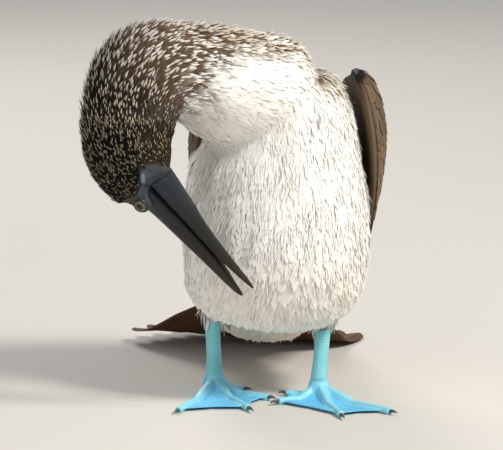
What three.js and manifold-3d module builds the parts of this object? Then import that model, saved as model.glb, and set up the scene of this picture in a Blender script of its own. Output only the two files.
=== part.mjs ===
// Blue-footed booby, a still model at life size, in millimetres with +Z up.
// The bird stands on the floor at Z = 0 and faces -Y. Its own left side is +X.
// The neck arches over the bird's right shoulder and the bill reaches down to preen the breast.
// Every solid is drawn out to the tips of its feathers.

import * as THREE from "three";
import { mergeVertices } from "three/addons/utils/BufferGeometryUtils.js";
import Module from "manifold-3d";

const wasm = await Module();
wasm.setup();

// Driving dimensions
const GAP = 0.35;
const BILL_ROOM = 0.7;
const SMALLEST_EDGE = 0.06;
const FLATTEST_TRIANGLE = 0.012;
const FLAT_PASSES = 3;
const BILL_LENGTH = 101.5;
const BILL_START = 7.6;
const TAIL_LENGTH = 200;
const TAIL_OUTER_LENGTH = 186;
const TAIL_FEATHERS = 12;
const EYEBALL_RADIUS = 7.2;
const TARSUS_RADIUS = 5.9;
const SOLE = 0;

// Fineness of the round pieces
const TUFT_SIDES = 16;
const TUFT_LEVELS = 10;
const EYE_SIDES = 10;
const EYE_LEVELS = 7;
const TOE_SIDES = 6;
const TOE_STEPS = 6;
const CLAW_SIDES = 6;
const CLAW_STEPS = 4;
const TARSUS_SIDES = 10;
const TARSUS_STEPS = 7;
const ANKLE_SIDES = 14;

const UP = new THREE.Vector3(0, 0, 1);
const vec = (x, y, z) => new THREE.Vector3(x, y, z);
const degrees = THREE.MathUtils.degToRad;
const mix = THREE.MathUtils.lerp;
const smooth = THREE.MathUtils.smoothstep;

// The head's own frame: a point at the level of the eyes, and the directions it faces.
const HEAD_CENTRE = vec(-86.2, -93, 182.8);
const HEAD_FORWARD = vec(0.618, 0.146, -0.772).normalize();
const HEAD_ROLL = degrees(20);
const levelSide = vec(0, -1, 0).projectOnPlane(HEAD_FORWARD).normalize();
const levelCrown = new THREE.Vector3().crossVectors(HEAD_FORWARD, levelSide);
const HEAD_CROWN = levelCrown.clone().applyAxisAngle(HEAD_FORWARD, HEAD_ROLL);
const HEAD_SIDE = levelSide.clone().applyAxisAngle(HEAD_FORWARD, HEAD_ROLL);

// A point in the head's frame: forward along the bill, up to the crown, out to the bird's left.
function headPoint(forward, crown, side) {
  return HEAD_CENTRE.clone()
    .addScaledVector(HEAD_FORWARD, forward)
    .addScaledVector(HEAD_CROWN, crown)
    .addScaledVector(HEAD_SIDE, side);
}

// Solids and geometry
function solidOf(geometry) {
  const bare = geometry.clone();
  bare.deleteAttribute("normal");
  bare.deleteAttribute("uv");
  const merged = mergeVertices(bare, 1e-4);
  return new wasm.Manifold(
    new wasm.Mesh({
      numProp: 3,
      vertProperties: merged.attributes.position.array,
      triVerts: new Uint32Array(merged.index.array),
    }),
  );
}

// A cut may leave edges too short to see. Both ends of each are drawn together into one corner.
function withoutShortEdges(positions, triangles) {
  const corner = (i) => vec(...positions.slice(3 * i, 3 * i + 3));
  const owner = Array.from({ length: positions.length / 3 }, (_, i) => i);
  const ownerOf = (i) => (owner[i] === i ? i : ownerOf(owner[i]));
  for (let i = 0; i < triangles.length; i++) {
    const next = i % 3 === 2 ? i - 2 : i + 1;
    const [a, b] = [ownerOf(triangles[i]), ownerOf(triangles[next])];
    if (a !== b && corner(a).distanceTo(corner(b)) < SMALLEST_EDGE) owner[b] = a;
  }
  const kept = [];
  for (let i = 0; i < triangles.length; i += 3) {
    const [a, b, c] = [0, 1, 2].map((k) => ownerOf(triangles[i + k]));
    if (a !== b && b !== c && c !== a) kept.push(a, b, c);
  }
  for (let pass = 0; pass < FLAT_PASSES; pass++) withoutFlatTriangles(corner, kept);
  return kept;
}

// A triangle whose three corners lie in line is turned together with the neighbour on its long side.
function withoutFlatTriangles(corner, triangles) {
  const key = (a, b) => `${a} ${b}`;
  const starts = new Map();
  for (let i = 0; i < triangles.length; i++) {
    starts.set(key(triangles[i], triangles[i % 3 === 2 ? i - 2 : i + 1]), i);
  }
  const used = new Set();
  for (let first = 0; first < triangles.length; first += 3) {
    const sides = [0, 1, 2].map((k) => {
      const [a, b] = [triangles[first + k], triangles[first + ((k + 1) % 3)]];
      return { a, b, c: triangles[first + ((k + 2) % 3)], length: corner(a).distanceTo(corner(b)) };
    });
    const { a, b, c, length } = sides.sort((one, other) => other.length - one.length)[0];
    const sine = corner(b).sub(corner(a)).cross(corner(c).sub(corner(a))).length();
    const across = starts.get(key(b, a));
    const neighbour = 3 * Math.floor(across / 3);
    if (sine / length > FLATTEST_TRIANGLE || used.has(first) || used.has(neighbour)) continue;
    const d = triangles[neighbour + ((across + 2) % 3)];
    if (starts.has(key(c, d)) || starts.has(key(d, c))) continue;
    triangles.splice(first, 3, a, d, c);
    triangles.splice(neighbour, 3, d, b, c);
    used.add(first).add(neighbour);
  }
}

function geometryOf(solid) {
  const mesh = solid.getMesh();
  const geometry = new THREE.BufferGeometry();
  geometry.setAttribute("position", new THREE.BufferAttribute(mesh.vertProperties, 3));
  geometry.setIndex(withoutShortEdges(mesh.vertProperties, mesh.triVerts));
  geometry.computeVertexNormals();
  return geometry;
}

// A closed skin over rings of points, each end closed by a fan to the ring's middle.
function loftSolid(rings) {
  const sides = rings[0].length;
  const points = rings.flat();
  const faces = [];
  const at = (ring, side) => ring * sides + (side % sides);
  for (let ring = 0; ring < rings.length - 1; ring++) {
    for (let side = 0; side < sides; side++) {
      const a = at(ring, side);
      const b = at(ring, side + 1);
      const c = at(ring + 1, side + 1);
      const d = at(ring + 1, side);
      faces.push(a, b, c, a, c, d);
    }
  }
  for (const [ring, flip] of [[0, true], [rings.length - 1, false]]) {
    const middle = new THREE.Vector3();
    rings[ring].forEach((point) => middle.addScaledVector(point, 1 / sides));
    points.push(middle);
    const tip = points.length - 1;
    for (let side = 0; side < sides; side++) {
      const a = at(ring, side);
      const b = at(ring, side + 1);
      faces.push(...(flip ? [tip, b, a] : [tip, a, b]));
    }
  }
  const geometry = new THREE.BufferGeometry().setFromPoints(points);
  geometry.setIndex(faces);
  const solid = solidOf(geometry);
  if (solid.volume() > 0) return solid;
  for (let i = 0; i < faces.length; i += 3) {
    [faces[i + 1], faces[i + 2]] = [faces[i + 2], faces[i + 1]];
  }
  geometry.setIndex(faces);
  return solidOf(geometry);
}

// Rows of numbers, one value of which is asked for at any place from 0 to 1 along them.
function smoothRows(rows) {
  const columns = rows[0].length;
  const last = rows.length - 1;
  return (place) => {
    const x = THREE.MathUtils.clamp(place, 0, 1) * last;
    const i = Math.min(Math.floor(x), last - 1);
    const t = x - i;
    const row = (k) => rows[THREE.MathUtils.clamp(k, 0, last)];
    const values = [];
    for (let c = 0; c < columns; c++) {
      const [p0, p1, p2, p3] = [row(i - 1)[c], row(i)[c], row(i + 1)[c], row(i + 2)[c]];
      const v0 = (p2 - p0) / 2;
      const v1 = (p3 - p1) / 2;
      const curve = (2 * p1 - 2 * p2 + v0 + v1) * t ** 3 + (3 * p2 - 3 * p1 - 2 * v0 - v1) * t * t;
      values.push(curve + v0 * t + p1);
    }
    return values;
  };
}

function ringOf(sides, pointAt) {
  return Array.from({ length: sides }, (_, i) => pointAt((i / sides) * 2 * Math.PI));
}

// Trunk, by level slices: height, bird's right edge, left edge, breast and back.
const TRUNK_SLICES = [
  [52, -6, 34, -12, 48],
  [55, -28, 50, -28, 68],
  [66, -54, 67, -50, 84],
  [84, -68.5, 80, -63, 92],
  [112, -72, 84.5, -70, 92],
  [142, -72, 85, -68, 86],
  [170, -69, 82, -62, 80],
  [194, -65, 78, -56, 74],
  [214, -56, 74.5, -51, 67],
  [234, -42, 70, -46, 59],
  [252, -24, 62, -37, 49],
  [264, -6, 52, -25, 36],
  [270, 14, 36, -8, 18],
];
const TRUNK_RINGS = 18;
const TRUNK_SIDES = 22;
const TRUNK_SQUARENESS = 0.9;

function trunkLoft(extra) {
  const slice = smoothRows(TRUNK_SLICES);
  const rings = [];
  for (let i = 0; i <= TRUNK_RINGS; i++) {
    const [z, right, left, front, back] = slice(i / TRUNK_RINGS);
    const x = (left + right) / 2;
    const y = (front + back) / 2;
    const halfX = (left - right) / 2 + extra;
    const halfY = (back - front) / 2 + extra;
    const level = z + mix(-extra, extra, i / TRUNK_RINGS);
    const rounded = (value) => Math.sign(value) * Math.abs(value) ** TRUNK_SQUARENESS;
    rings.push(ringOf(TRUNK_SIDES, (angle) =>
      vec(x + halfX * rounded(Math.cos(angle)), y + halfY * rounded(Math.sin(angle)), level)));
  }
  return loftSolid(rings);
}

// A round mass of feathers, as an ellipsoid tipped back about X.
function tuftMass(centre, radii, tip, extra) {
  const geometry = new THREE.SphereGeometry(1, TUFT_SIDES, TUFT_LEVELS);
  geometry.scale(radii.x + extra, radii.y + extra, radii.z + extra);
  geometry.rotateX(tip);
  geometry.translate(centre.x, centre.y, centre.z);
  return solidOf(geometry);
}

// The vent hangs low behind the legs, and the rump and tail coverts cover the root of the tail.
const VENT = { centre: vec(-1, 66, 68), radii: vec(54, 62, 40), tip: degrees(-16) };
const COVERTS = { centre: vec(3, 106, 72), radii: vec(38, 60, 25), tip: degrees(-34) };

function trunkSolid(extra) {
  return trunkLoft(extra)
    .add(tuftMass(VENT.centre, VENT.radii, VENT.tip, extra))
    .add(tuftMass(COVERTS.centre, COVERTS.radii, COVERTS.tip, extra));
}

// Head and neck in one sweep: outer edge, inner edge and half the depth from side to side.
// The face starts with the level forward of the eyes, the crown, the throat and the half width.
const FACE_ROWS = [
  [7.2, 15.6, -19.5, 15],
  [0, 19, -22.5, 20],
  [-7, 25, -26.5, 24],
  [-17, 30, -33.5, 27.5],
];
// How far back the bill reaches into the face, by height: over the gape it ends by the eye,
// at the corner of the gape it reaches far back, and it ends further forward at the chin.
const BILL_ROOT = [
  [-22, -5],
  [-14, -10],
  [-6, -13],
  [-1, -9],
  [5, 2],
  [11, 7.4],
  [22, 7.4],
];
const NECK_ROWS = [
  [[-127, -92, 180.6], [-72, -102.5, 217], 31],
  [[-142.5, -91, 201], [-70.5, -99, 228], 34],
  [[-148, -91, 231], [-70, -95, 232.5], 36],
  [[-146, -88, 259.5], [-69.4, -91, 233.5], 37],
  [[-136, -84, 289], [-68.6, -86, 234.2], 38],
  [[-114, -78, 309.5], [-67.6, -80, 234], 39],
  [[-92, -72, 315], [-65.5, -74, 231.5], 40],
  [[-70, -62, 312], [-59, -64, 224], 43],
  [[-42, -44, 308], [-46, -48, 206], 47],
  [[-10, -22, 300.5], [-24, -24, 186], 52],
  [[22, 2, 285], [0, 6, 170], 54],
  [[44, 14, 262], [14, 20, 160], 50],
];
const HEAD_NECK_ROWS = [
  ...FACE_ROWS.map(([forward, crown, throat, half]) => [
    ...headPoint(forward, crown, 0).toArray(),
    ...headPoint(forward, throat, 0).toArray(),
    half,
  ]),
  ...NECK_ROWS.map(([outer, inner, half]) => [...outer, ...inner, half]),
];
const HEAD_END = 0.31;
const HEAD_NECK_GAP = 0.0018;
const HEAD_RINGS = 9;
const NECK_RINGS = 16;
const NECK_SIDES = 20;

// The level of the bill's root at a height in the head's frame.
function billRootAt(crown) {
  const last = BILL_ROOT.length - 1;
  if (crown <= BILL_ROOT[0][0]) return BILL_ROOT[0][1];
  if (crown >= BILL_ROOT[last][0]) return BILL_ROOT[last][1];
  const i = BILL_ROOT.findIndex(([height]) => height > crown);
  const [lowHeight, lowLevel] = BILL_ROOT[i - 1];
  const [height, level] = BILL_ROOT[i];
  return mix(lowLevel, level, (crown - lowHeight) / (height - lowHeight));
}

// Slides a point of the face back to the bill's root, less and less towards the nape.
const FACE_FRONT = FACE_ROWS[0][0];
const FACE_BACK = -30;

function drawnBack(point) {
  const fromCentre = point.clone().sub(HEAD_CENTRE);
  const share = Math.max(0, fromCentre.dot(HEAD_FORWARD) - FACE_BACK) / (FACE_FRONT - FACE_BACK);
  const back = (billRootAt(fromCentre.dot(HEAD_CROWN)) - FACE_FRONT) * share;
  return point.addScaledVector(HEAD_FORWARD, back);
}

function neckSweep(from, to, rings, extra) {
  const row = smoothRows(HEAD_NECK_ROWS);
  const centreAt = (place) => {
    const [ax, ay, az, bx, by, bz] = row(place);
    return vec((ax + bx) / 2, (ay + by) / 2, (az + bz) / 2);
  };
  const list = [];
  for (let i = 0; i <= rings; i++) {
    const place = mix(from, to, i / rings);
    const [ax, ay, az, , , , half] = row(place);
    const centre = centreAt(place);
    const across = vec(ax, ay, az).sub(centre);
    across.setLength(across.length() + extra);
    const along = centreAt(place + 0.01).sub(centreAt(place - 0.01));
    const depth = new THREE.Vector3().crossVectors(along, across).setLength(half + extra);
    list.push(ringOf(NECK_SIDES, (angle) => {
      const point = centre.clone()
        .addScaledVector(across, Math.cos(angle))
        .addScaledVector(depth, Math.sin(angle));
      return drawnBack(point);
    }));
  }
  return loftSolid(list);
}

// Bill, by stations forward of the eyes: edge over, edge under and half width.
const UPPER_BILL = [
  [0, 15.6, -4.6, 13.6],
  [0.06, 14.4, -4.6, 13.2],
  [0.2, 12.9, -4.5, 11.4],
  [0.38, 11.2, -4.3, 9.2],
  [0.56, 9.3, -3.6, 7],
  [0.74, 7.6, -1.6, 4.9],
  [0.88, 6.2, 0.2, 3.2],
  [0.96, 4.8, 1, 2],
  [1, 3.2, 1.6, 0.7],
];
const LOWER_BILL = [
  [0, -5.1, -19.3, 13.2],
  [0.06, -5.1, -18.6, 12.8],
  [0.2, -5, -15.6, 11],
  [0.38, -4.9, -12.7, 8.8],
  [0.56, -4.7, -11.7, 6.6],
  [0.74, -5.6, -11.2, 4.5],
  [0.88, -7, -10.9, 2.9],
  [0.96, -8, -10.4, 1.8],
  [1, -8.7, -9.7, 0.7],
];
const BILL_RINGS = 11;
const BILL_SIDES = 12;

// The widest level lies near the edges that meet, so each half is an arch on a flat.
// Its first stations are drawn back to the root in the face, and spread to meet the cheeks.
const ROOT_REACH = 0.22;
const ROOT_SPREAD = 0.17;
// How far from the edge that meets the other half the bill is widest.
const WIDEST_SHARE = 0.22;

function billSolid(rows, extra) {
  const row = smoothRows(rows);
  const rings = [];
  for (let i = 0; i <= BILL_RINGS; i++) {
    const [place, over, under, half] = row(i / BILL_RINGS);
    const forward = BILL_START + place * BILL_LENGTH + mix(-extra, extra, i / BILL_RINGS);
    const [edge, ridge] = rows === UPPER_BILL ? [under, over] : [over, under];
    const widest = mix(edge, ridge, WIDEST_SHARE);
    const rootShare = 1 - smooth(place, 0, ROOT_REACH);
    rings.push(ringOf(BILL_SIDES, (angle) => {
      const rise = Math.sin(angle);
      const crown = widest + (rise > 0 ? (over - widest) * rise : (widest - under) * rise);
      const back = (billRootAt(crown) - FACE_FRONT) * rootShare;
      const side = (half - ROOT_SPREAD * back + extra) * Math.cos(angle);
      return headPoint(forward + back, crown + extra * rise, side);
    }));
  }
  return loftSolid(rings);
}

// Eyes: balls set in the sides of the head, ahead of the feathers.
const EYE_FORWARD = -3;
const EYE_CROWN = 9;
const EYE_SIDE = 14;

function eyeSolid(side, extra) {
  const geometry = new THREE.SphereGeometry(EYEBALL_RADIUS + extra, EYE_SIDES, EYE_LEVELS);
  const centre = headPoint(EYE_FORWARD, EYE_CROWN, side * EYE_SIDE);
  geometry.translate(centre.x, centre.y, centre.z);
  return solidOf(geometry);
}

// Folded wing from the wrist to the tip: middle, half width, half thickness, bend round the
// body, and the heading of its outer face in degrees from the bird's left towards its tail.
const WING_ROWS = [
  [70, 22, 261, 8, 5, 1, 12],
  [77, 26, 248, 27, 10.5, 6, 18],
  [81, 38, 220, 42, 12, 13, 26],
  [77, 57, 186, 47, 11, 15, 34],
  [66, 82, 150, 50, 9, 14, 42],
  [54, 111, 114, 44, 7, 10, 48],
  [49, 147, 80, 32, 5, 5, 52],
  [47, 185, 51, 20, 3.4, 2, 55],
  [47, 219, 30, 10, 2.2, 0.5, 58],
  [48, 240, 19, 2, 1.2, 0, 60],
];
const WING_RINGS = 16;
const WING_SIDES = 12;
const BODY_MIDDLE = 6;
// The right wing is held closer to the back, and its tip stands out past the body.
const RIGHT_WING_ROOT = 0.74;
const RIGHT_WING_TIP = 1.55;
const RIGHT_WING_TURN = 0.45;
const WING_SIGHT = 0.02;

function wingSolid(side) {
  const row = smoothRows(WING_ROWS);
  const middleAt = (place) => {
    const [x, y, z] = row(place);
    const spread = smooth(place, RIGHT_WING_TURN, 1);
    const reach = side > 0 ? 1 : mix(RIGHT_WING_ROOT, RIGHT_WING_TIP, spread);
    return vec(BODY_MIDDLE + side * reach * (x - BODY_MIDDLE), y, z);
  };
  const rings = [];
  for (let i = 0; i <= WING_RINGS; i++) {
    const place = i / WING_RINGS;
    const [, , , halfWidth, halfThick, bend, heading] = row(place);
    const outward = vec(side * Math.cos(degrees(heading)), Math.sin(degrees(heading)), 0);
    const ahead = middleAt(Math.min(place + WING_SIGHT, 1));
    const along = ahead.sub(middleAt(Math.max(place - WING_SIGHT, 0)));
    const across = new THREE.Vector3().crossVectors(along, outward).normalize();
    const normal = new THREE.Vector3().crossVectors(across, along).normalize();
    const middle = middleAt(place);
    rings.push(ringOf(WING_SIDES, (angle) => {
      const c = Math.cos(angle);
      return middle.clone()
        .addScaledVector(across, halfWidth * c)
        .addScaledVector(normal, halfThick * Math.sin(angle) - bend * c * c);
    }));
  }
  return loftSolid(rings);
}

// Tail: a fan of long feathers from one root, swung to the bird's right, its tips on the floor.
const TAIL_ROOT = vec(6, 92, 78);
const TAIL_SLOPE = degrees(35);
const TAIL_FLEX = 5;
const TAIL_RIGHT_EDGE = degrees(40);
const TAIL_LEFT_EDGE = degrees(-23);
const TAIL_SHORTENED = 0.9;
const TAIL_TILT = 9;
const TAIL_FEATHER_HALF_WIDTH = 15;
const TAIL_STEP = 0.55;
const TAIL_THICKNESS = 1.5;
const TAIL_TIP_THICKNESS = 0.6;
// The vane of one feather: half width as a share of the full one, at shares of the length.
const TAIL_VANE = [[0.1, 0.4], [0.3, 0.75], [0.6, 1], [0.85, 0.92], [0.94, 0.66], [0.985, 0.3]];
const TAIL_BASE = { width: 24, length: 36, height: 7, back: 34, down: 26, right: 3 };

// The feathers slope down from the root and bend where they meet the floor.
function tailPoint(heading, distance, aside, height) {
  const flat = vec(-Math.sin(heading) * distance, Math.cos(heading) * distance, 0);
  flat.add(vec(Math.cos(heading) * aside, Math.sin(heading) * aside, 0));
  const straight = TAIL_ROOT.z - flat.y * Math.tan(TAIL_SLOPE);
  const bent = (straight + Math.hypot(straight, 2 * TAIL_FLEX)) / 2;
  const slope = TAIL_SLOPE * smooth(straight, -TAIL_ROOT.z / 3, TAIL_ROOT.z / 3);
  const tilt = TAIL_TILT * smooth(-flat.x, 0, TAIL_LENGTH / 2);
  const point = vec(TAIL_ROOT.x + flat.x, TAIL_ROOT.y + flat.y * TAIL_SHORTENED, bent + tilt);
  point.add(vec(0, Math.sin(slope) * height, Math.cos(slope) * height));
  point.z = Math.max(point.z, SOLE);
  return point;
}

function tailFeather(index) {
  const place = index / (TAIL_FEATHERS - 1);
  const heading = mix(TAIL_RIGHT_EDGE, TAIL_LEFT_EDGE, place);
  const fromMiddle = Math.abs(2 * place - 1);
  const length = mix(TAIL_LENGTH, TAIL_OUTER_LENGTH, fromMiddle ** 1.5);
  const level = TAIL_STEP * (TAIL_FEATHERS / 2) * (1 - fromMiddle);
  const rings = TAIL_VANE.map(([share, width]) => {
    const half = TAIL_FEATHER_HALF_WIDTH * width;
    const thick = TAIL_THICKNESS * mix(1.4, 0.7, share);
    const corners = [[-1, 0], [0, 1], [1, 0], [0, -1]];
    return corners.map(([x, z]) =>
      tailPoint(heading, share * length, x * half, level + z * thick));
  });
  const tip = tailPoint(heading, length, 0, level);
  const corners = [[-1, 0], [0, TAIL_TIP_THICKNESS], [1, 0], [0, -TAIL_TIP_THICKNESS]];
  rings.push(corners.map(([x, z]) => vec(tip.x + x, tip.y, Math.max(tip.z + z, SOLE))));
  return loftSolid(rings);
}

function tailSolid() {
  const root = new THREE.SphereGeometry(1, TUFT_SIDES, TUFT_LEVELS);
  const { width, length, height, back, down, right } = TAIL_BASE;
  root.scale(width, length, height);
  root.rotateX(-TAIL_SLOPE);
  root.translate(TAIL_ROOT.x - right, TAIL_ROOT.y + back, TAIL_ROOT.z - down);
  let tail = solidOf(root);
  for (let index = 0; index < TAIL_FEATHERS; index++) {
    tail = tail.add(tailFeather(index));
  }
  return tail;
}

// Legs and feet: the ankle, the leg's top inside the belly, and each toe's tip, hind toe first.
const LEGS = {
  right: {
    ankle: vec(-43, 14, 0),
    top: vec(-46, 20, 84),
    tips: [vec(-20, 13, 0), vec(0, -18, 0), vec(-16, -57, 0), vec(-71, -66, 0)],
  },
  left: {
    ankle: vec(41, -10, 0),
    top: vec(47, 8, 80),
    tips: [vec(15, -2, 0), vec(8, -34, 0), vec(57, -82, 0), vec(96, -70, 0)],
  },
};
const TOE_RADIUS = 4.6;
const TOE_TIP_RADIUS = 2.7;
const CLAW_LENGTHS = [7, 8, 12, 8];
const WEB_THICKNESS = 1.3;
const WEB_REACH = 0.93;
const WEB_HOLLOW = 0.4;
const WEB_START = 0.04;
const WEB_SAG = 1.1;
const WEB_ALONG = 5;
const WEB_ACROSS = 4;
const TOE_ROOT_HEIGHT = 8.5;
// The ankle's turned profile, radius and height, from the flat pad under it to its flat top.
const ANKLE_PROFILE = [[0, 0], [7, 0], [9, 3], [9.6, 8], [8, 13], [6.6, 17], [0, 17]];
const ANKLE_TOP = ANKLE_PROFILE.at(-1)[1];

// The middle of a toe at a share of its length, low and almost level from the ankle to the tip.
function toePoint(leg, toe, share) {
  const { ankle, tips } = LEGS[leg];
  const point = ankle.clone().lerp(tips[toe], share);
  point.z = mix(TOE_ROOT_HEIGHT, TOE_TIP_RADIUS - 0.5, smooth(share, 0, 0.55));
  point.z += 0.8 * Math.sin(share * 9);
  return point;
}

function toeSolid(leg, toe) {
  const rings = [];
  const heading = toePoint(leg, toe, 1).sub(toePoint(leg, toe, 0)).setZ(0).normalize();
  const aside = new THREE.Vector3().crossVectors(UP, heading);
  for (let i = 0; i <= TOE_STEPS; i++) {
    const share = i / TOE_STEPS;
    const middle = toePoint(leg, toe, share);
    const knuckle = 1 + 0.1 * Math.cos(share * 6 * Math.PI);
    const radius = mix(TOE_RADIUS, TOE_TIP_RADIUS, share) * knuckle;
    rings.push(ringOf(TOE_SIDES, (angle) => {
      const point = middle.clone().addScaledVector(aside, radius * Math.cos(angle));
      point.z = Math.max(SOLE, middle.z + radius * Math.sin(angle));
      return point;
    }));
  }
  return loftSolid(rings);
}

// A web between two toes, its front edge hollow between their tips.
function webSolid(leg, toe) {
  const surface = (i, j, offset) => {
    const v = j / WEB_ACROSS;
    const reach = WEB_REACH - WEB_HOLLOW * v * (1 - v);
    const u = mix(WEB_START, reach, i / WEB_ALONG);
    const point = toePoint(leg, toe, u).lerp(toePoint(leg, toe + 1, u), v);
    const sag = WEB_SAG * Math.sin(Math.PI * v);
    point.z = Math.max(SOLE + 0.5, point.z - sag) + offset;
    return point;
  };
  const rings = [];
  for (let i = 0; i <= WEB_ALONG; i++) {
    const ring = [];
    for (let j = 0; j <= WEB_ACROSS; j++) ring.push(surface(i, j, WEB_THICKNESS / 2));
    for (let j = WEB_ACROSS; j >= 0; j--) ring.push(surface(i, j, -WEB_THICKNESS / 2));
    ring.forEach((point) => {
      point.z = Math.max(SOLE, point.z);
    });
    rings.push(ring);
  }
  return loftSolid(rings);
}

// The ankle joint, with a flat pad under it and a flat top where the leg stands.
function ankleSolid(leg) {
  const { ankle } = LEGS[leg];
  const profile = ANKLE_PROFILE.map(([radius, height]) => new THREE.Vector2(radius, height));
  const geometry = new THREE.LatheGeometry(profile, ANKLE_SIDES);
  geometry.rotateX(Math.PI / 2);
  geometry.translate(ankle.x, ankle.y, SOLE);
  return solidOf(geometry);
}

function footSolid(leg) {
  let foot = ankleSolid(leg);
  for (let toe = 0; toe < 4; toe++) foot = foot.add(toeSolid(leg, toe));
  for (let toe = 0; toe < 3; toe++) foot = foot.add(webSolid(leg, toe));
  return foot;
}

function clawSolid(leg, toe) {
  const start = toePoint(leg, toe, 1);
  const heading = start.clone().sub(toePoint(leg, toe, 0)).setZ(0).normalize();
  const aside = new THREE.Vector3().crossVectors(UP, heading);
  const length = CLAW_LENGTHS[toe];
  const rings = [];
  for (let i = 0; i <= CLAW_STEPS; i++) {
    const share = i / CLAW_STEPS;
    const radius = TOE_TIP_RADIUS * 0.8 * (1 - 0.85 * share);
    const middle = start.clone().addScaledVector(heading, GAP + length * share);
    middle.z += 1.6 * Math.sin(Math.PI * 0.8 * share) - 1.2 * share;
    rings.push(ringOf(CLAW_SIDES, (angle) => {
      const point = middle.clone().addScaledVector(aside, radius * Math.cos(angle));
      point.z = Math.max(SOLE, middle.z + radius * Math.sin(angle));
      return point;
    }));
  }
  return loftSolid(rings);
}

function legSolid(leg) {
  const { ankle, top } = LEGS[leg];
  const rings = [];
  const foot = ankle.clone().setZ(ANKLE_TOP + GAP);
  for (let i = 0; i <= TARSUS_STEPS; i++) {
    const share = i / TARSUS_STEPS;
    const middle = foot.clone().lerp(top, share);
    const flare = 1 + 0.18 * (1 - smooth(share, 0, 0.18)) + 0.12 * smooth(share, 0.5, 1);
    rings.push(ringOf(TARSUS_SIDES, (angle) =>
      vec(
        middle.x + TARSUS_RADIUS * flare * Math.cos(angle),
        middle.y + TARSUS_RADIUS * 1.15 * flare * Math.sin(angle),
        middle.z,
      )));
  }
  return loftSolid(rings);
}

// The pieces, each trimmed to leave a thin gap to its neighbour
const trunkRoom = trunkSolid(GAP);
const eyeRoom = eyeSolid(1, GAP).add(eyeSolid(-1, GAP));
const upperBill = billSolid(UPPER_BILL, 0).subtract(eyeRoom);
const lowerBill = billSolid(LOWER_BILL, 0);
const billRoom = billSolid(UPPER_BILL, BILL_ROOM).add(billSolid(LOWER_BILL, BILL_ROOM));
const trunk = trunkSolid(0).subtract(billRoom);
const head = neckSweep(0, HEAD_END, HEAD_RINGS, 0)
  .subtract(eyeRoom)
  .subtract(billRoom)
  .subtract(upperBill);
const neck = neckSweep(HEAD_END + HEAD_NECK_GAP, 1, NECK_RINGS, 0).subtract(trunkRoom);
const neckRoom = neckSweep(HEAD_END, 1, NECK_RINGS, GAP);
const wingLeft = wingSolid(1).subtract(trunkRoom).subtract(neckRoom);
const wingRight = wingSolid(-1).subtract(trunkRoom).subtract(neckRoom);
const tail = tailSolid().subtract(trunkRoom);

// Colours and finish
const finishes = {
  dark_plumage: { color: 0x3a322b, roughness: 0.9 },
  pale_neck_plumage: { color: 0x9b8c78, roughness: 0.9 },
  white_plumage: { color: 0xf1ece1, roughness: 0.95 },
  brown_wing: { color: 0x66503c, roughness: 0.8 },
  brown_tail: { color: 0x5c4230, roughness: 0.8 },
  bill_horn: { color: 0x40444a, roughness: 0.4 },
  iris: { color: 0xe9df9a, roughness: 0.05 },
  blue_leg_skin: { color: 0x63b9d8, roughness: 0.55 },
  blue_foot_skin: { color: 0x4fb4e6, roughness: 0.55 },
  claw_horn: { color: 0x55524c, roughness: 0.45 },
};

function named(name, solid, finish) {
  const material = new THREE.MeshStandardMaterial({ ...finishes[finish], metalness: 0 });
  const mesh = new THREE.Mesh(geometryOf(solid), material);
  mesh.name = name;
  return mesh;
}

const booby = new THREE.Group();
booby.add(
  named("head", head, "dark_plumage"),
  named("neck", neck, "pale_neck_plumage"),
  named("trunk", trunk, "white_plumage"),
  named("bill_upper", upperBill, "bill_horn"),
  named("bill_lower", lowerBill, "bill_horn"),
  named("eye_left", eyeSolid(1, 0), "iris"),
  named("eye_right", eyeSolid(-1, 0), "iris"),
  named("wing_left", wingLeft, "brown_wing"),
  named("wing_right", wingRight, "brown_wing"),
  named("tail", tail, "brown_tail"),
);
for (const leg of ["left", "right"]) {
  booby.add(
    named(`leg_${leg}`, legSolid(leg).subtract(trunkRoom), "blue_leg_skin"),
    named(`foot_${leg}`, footSolid(leg), "blue_foot_skin"),
  );
  for (let toe = 0; toe < 4; toe++) {
    booby.add(named(`claw_${leg}_${toe + 1}`, clawSolid(leg, toe), "claw_horn"));
  }
}

// The origin lies on the floor, under the middle of the whole bird's box.
const box = new THREE.Box3().setFromObject(booby);
const middle = box.getCenter(new THREE.Vector3());
booby.position.set(-middle.x, -middle.y, -box.min.z);

export default booby;
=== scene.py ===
# %% [markdown]
# A blue footed booby, life size, standing and preening its breast. The bird's solids come from
# the shared frame: head, neck, trunk, wings, tail, legs and feet, each drawn out to the tips of
# its feathers. This notebook lays one skin inside them and covers it with feathers, each of them
# a small vane of real mesh. The first cell loads the frame.

# %% Load the frame
import math
import bpy
import bmesh
import numpy as np
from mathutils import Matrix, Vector
from mathutils.bvhtree import BVHTree
from mathutils.kdtree import KDTree


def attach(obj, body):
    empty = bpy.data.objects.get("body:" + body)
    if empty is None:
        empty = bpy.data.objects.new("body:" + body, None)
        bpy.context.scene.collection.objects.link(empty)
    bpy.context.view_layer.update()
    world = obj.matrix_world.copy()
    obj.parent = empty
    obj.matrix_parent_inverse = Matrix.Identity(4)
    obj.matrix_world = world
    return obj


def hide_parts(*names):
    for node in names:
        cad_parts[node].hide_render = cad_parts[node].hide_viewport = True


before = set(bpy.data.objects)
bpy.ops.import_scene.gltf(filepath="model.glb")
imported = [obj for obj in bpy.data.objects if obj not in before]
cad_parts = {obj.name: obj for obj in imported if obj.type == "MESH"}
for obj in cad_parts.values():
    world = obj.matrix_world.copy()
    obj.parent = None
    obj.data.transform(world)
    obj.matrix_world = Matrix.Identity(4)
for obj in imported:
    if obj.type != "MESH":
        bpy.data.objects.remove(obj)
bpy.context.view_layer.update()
MM = 0.001

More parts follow.
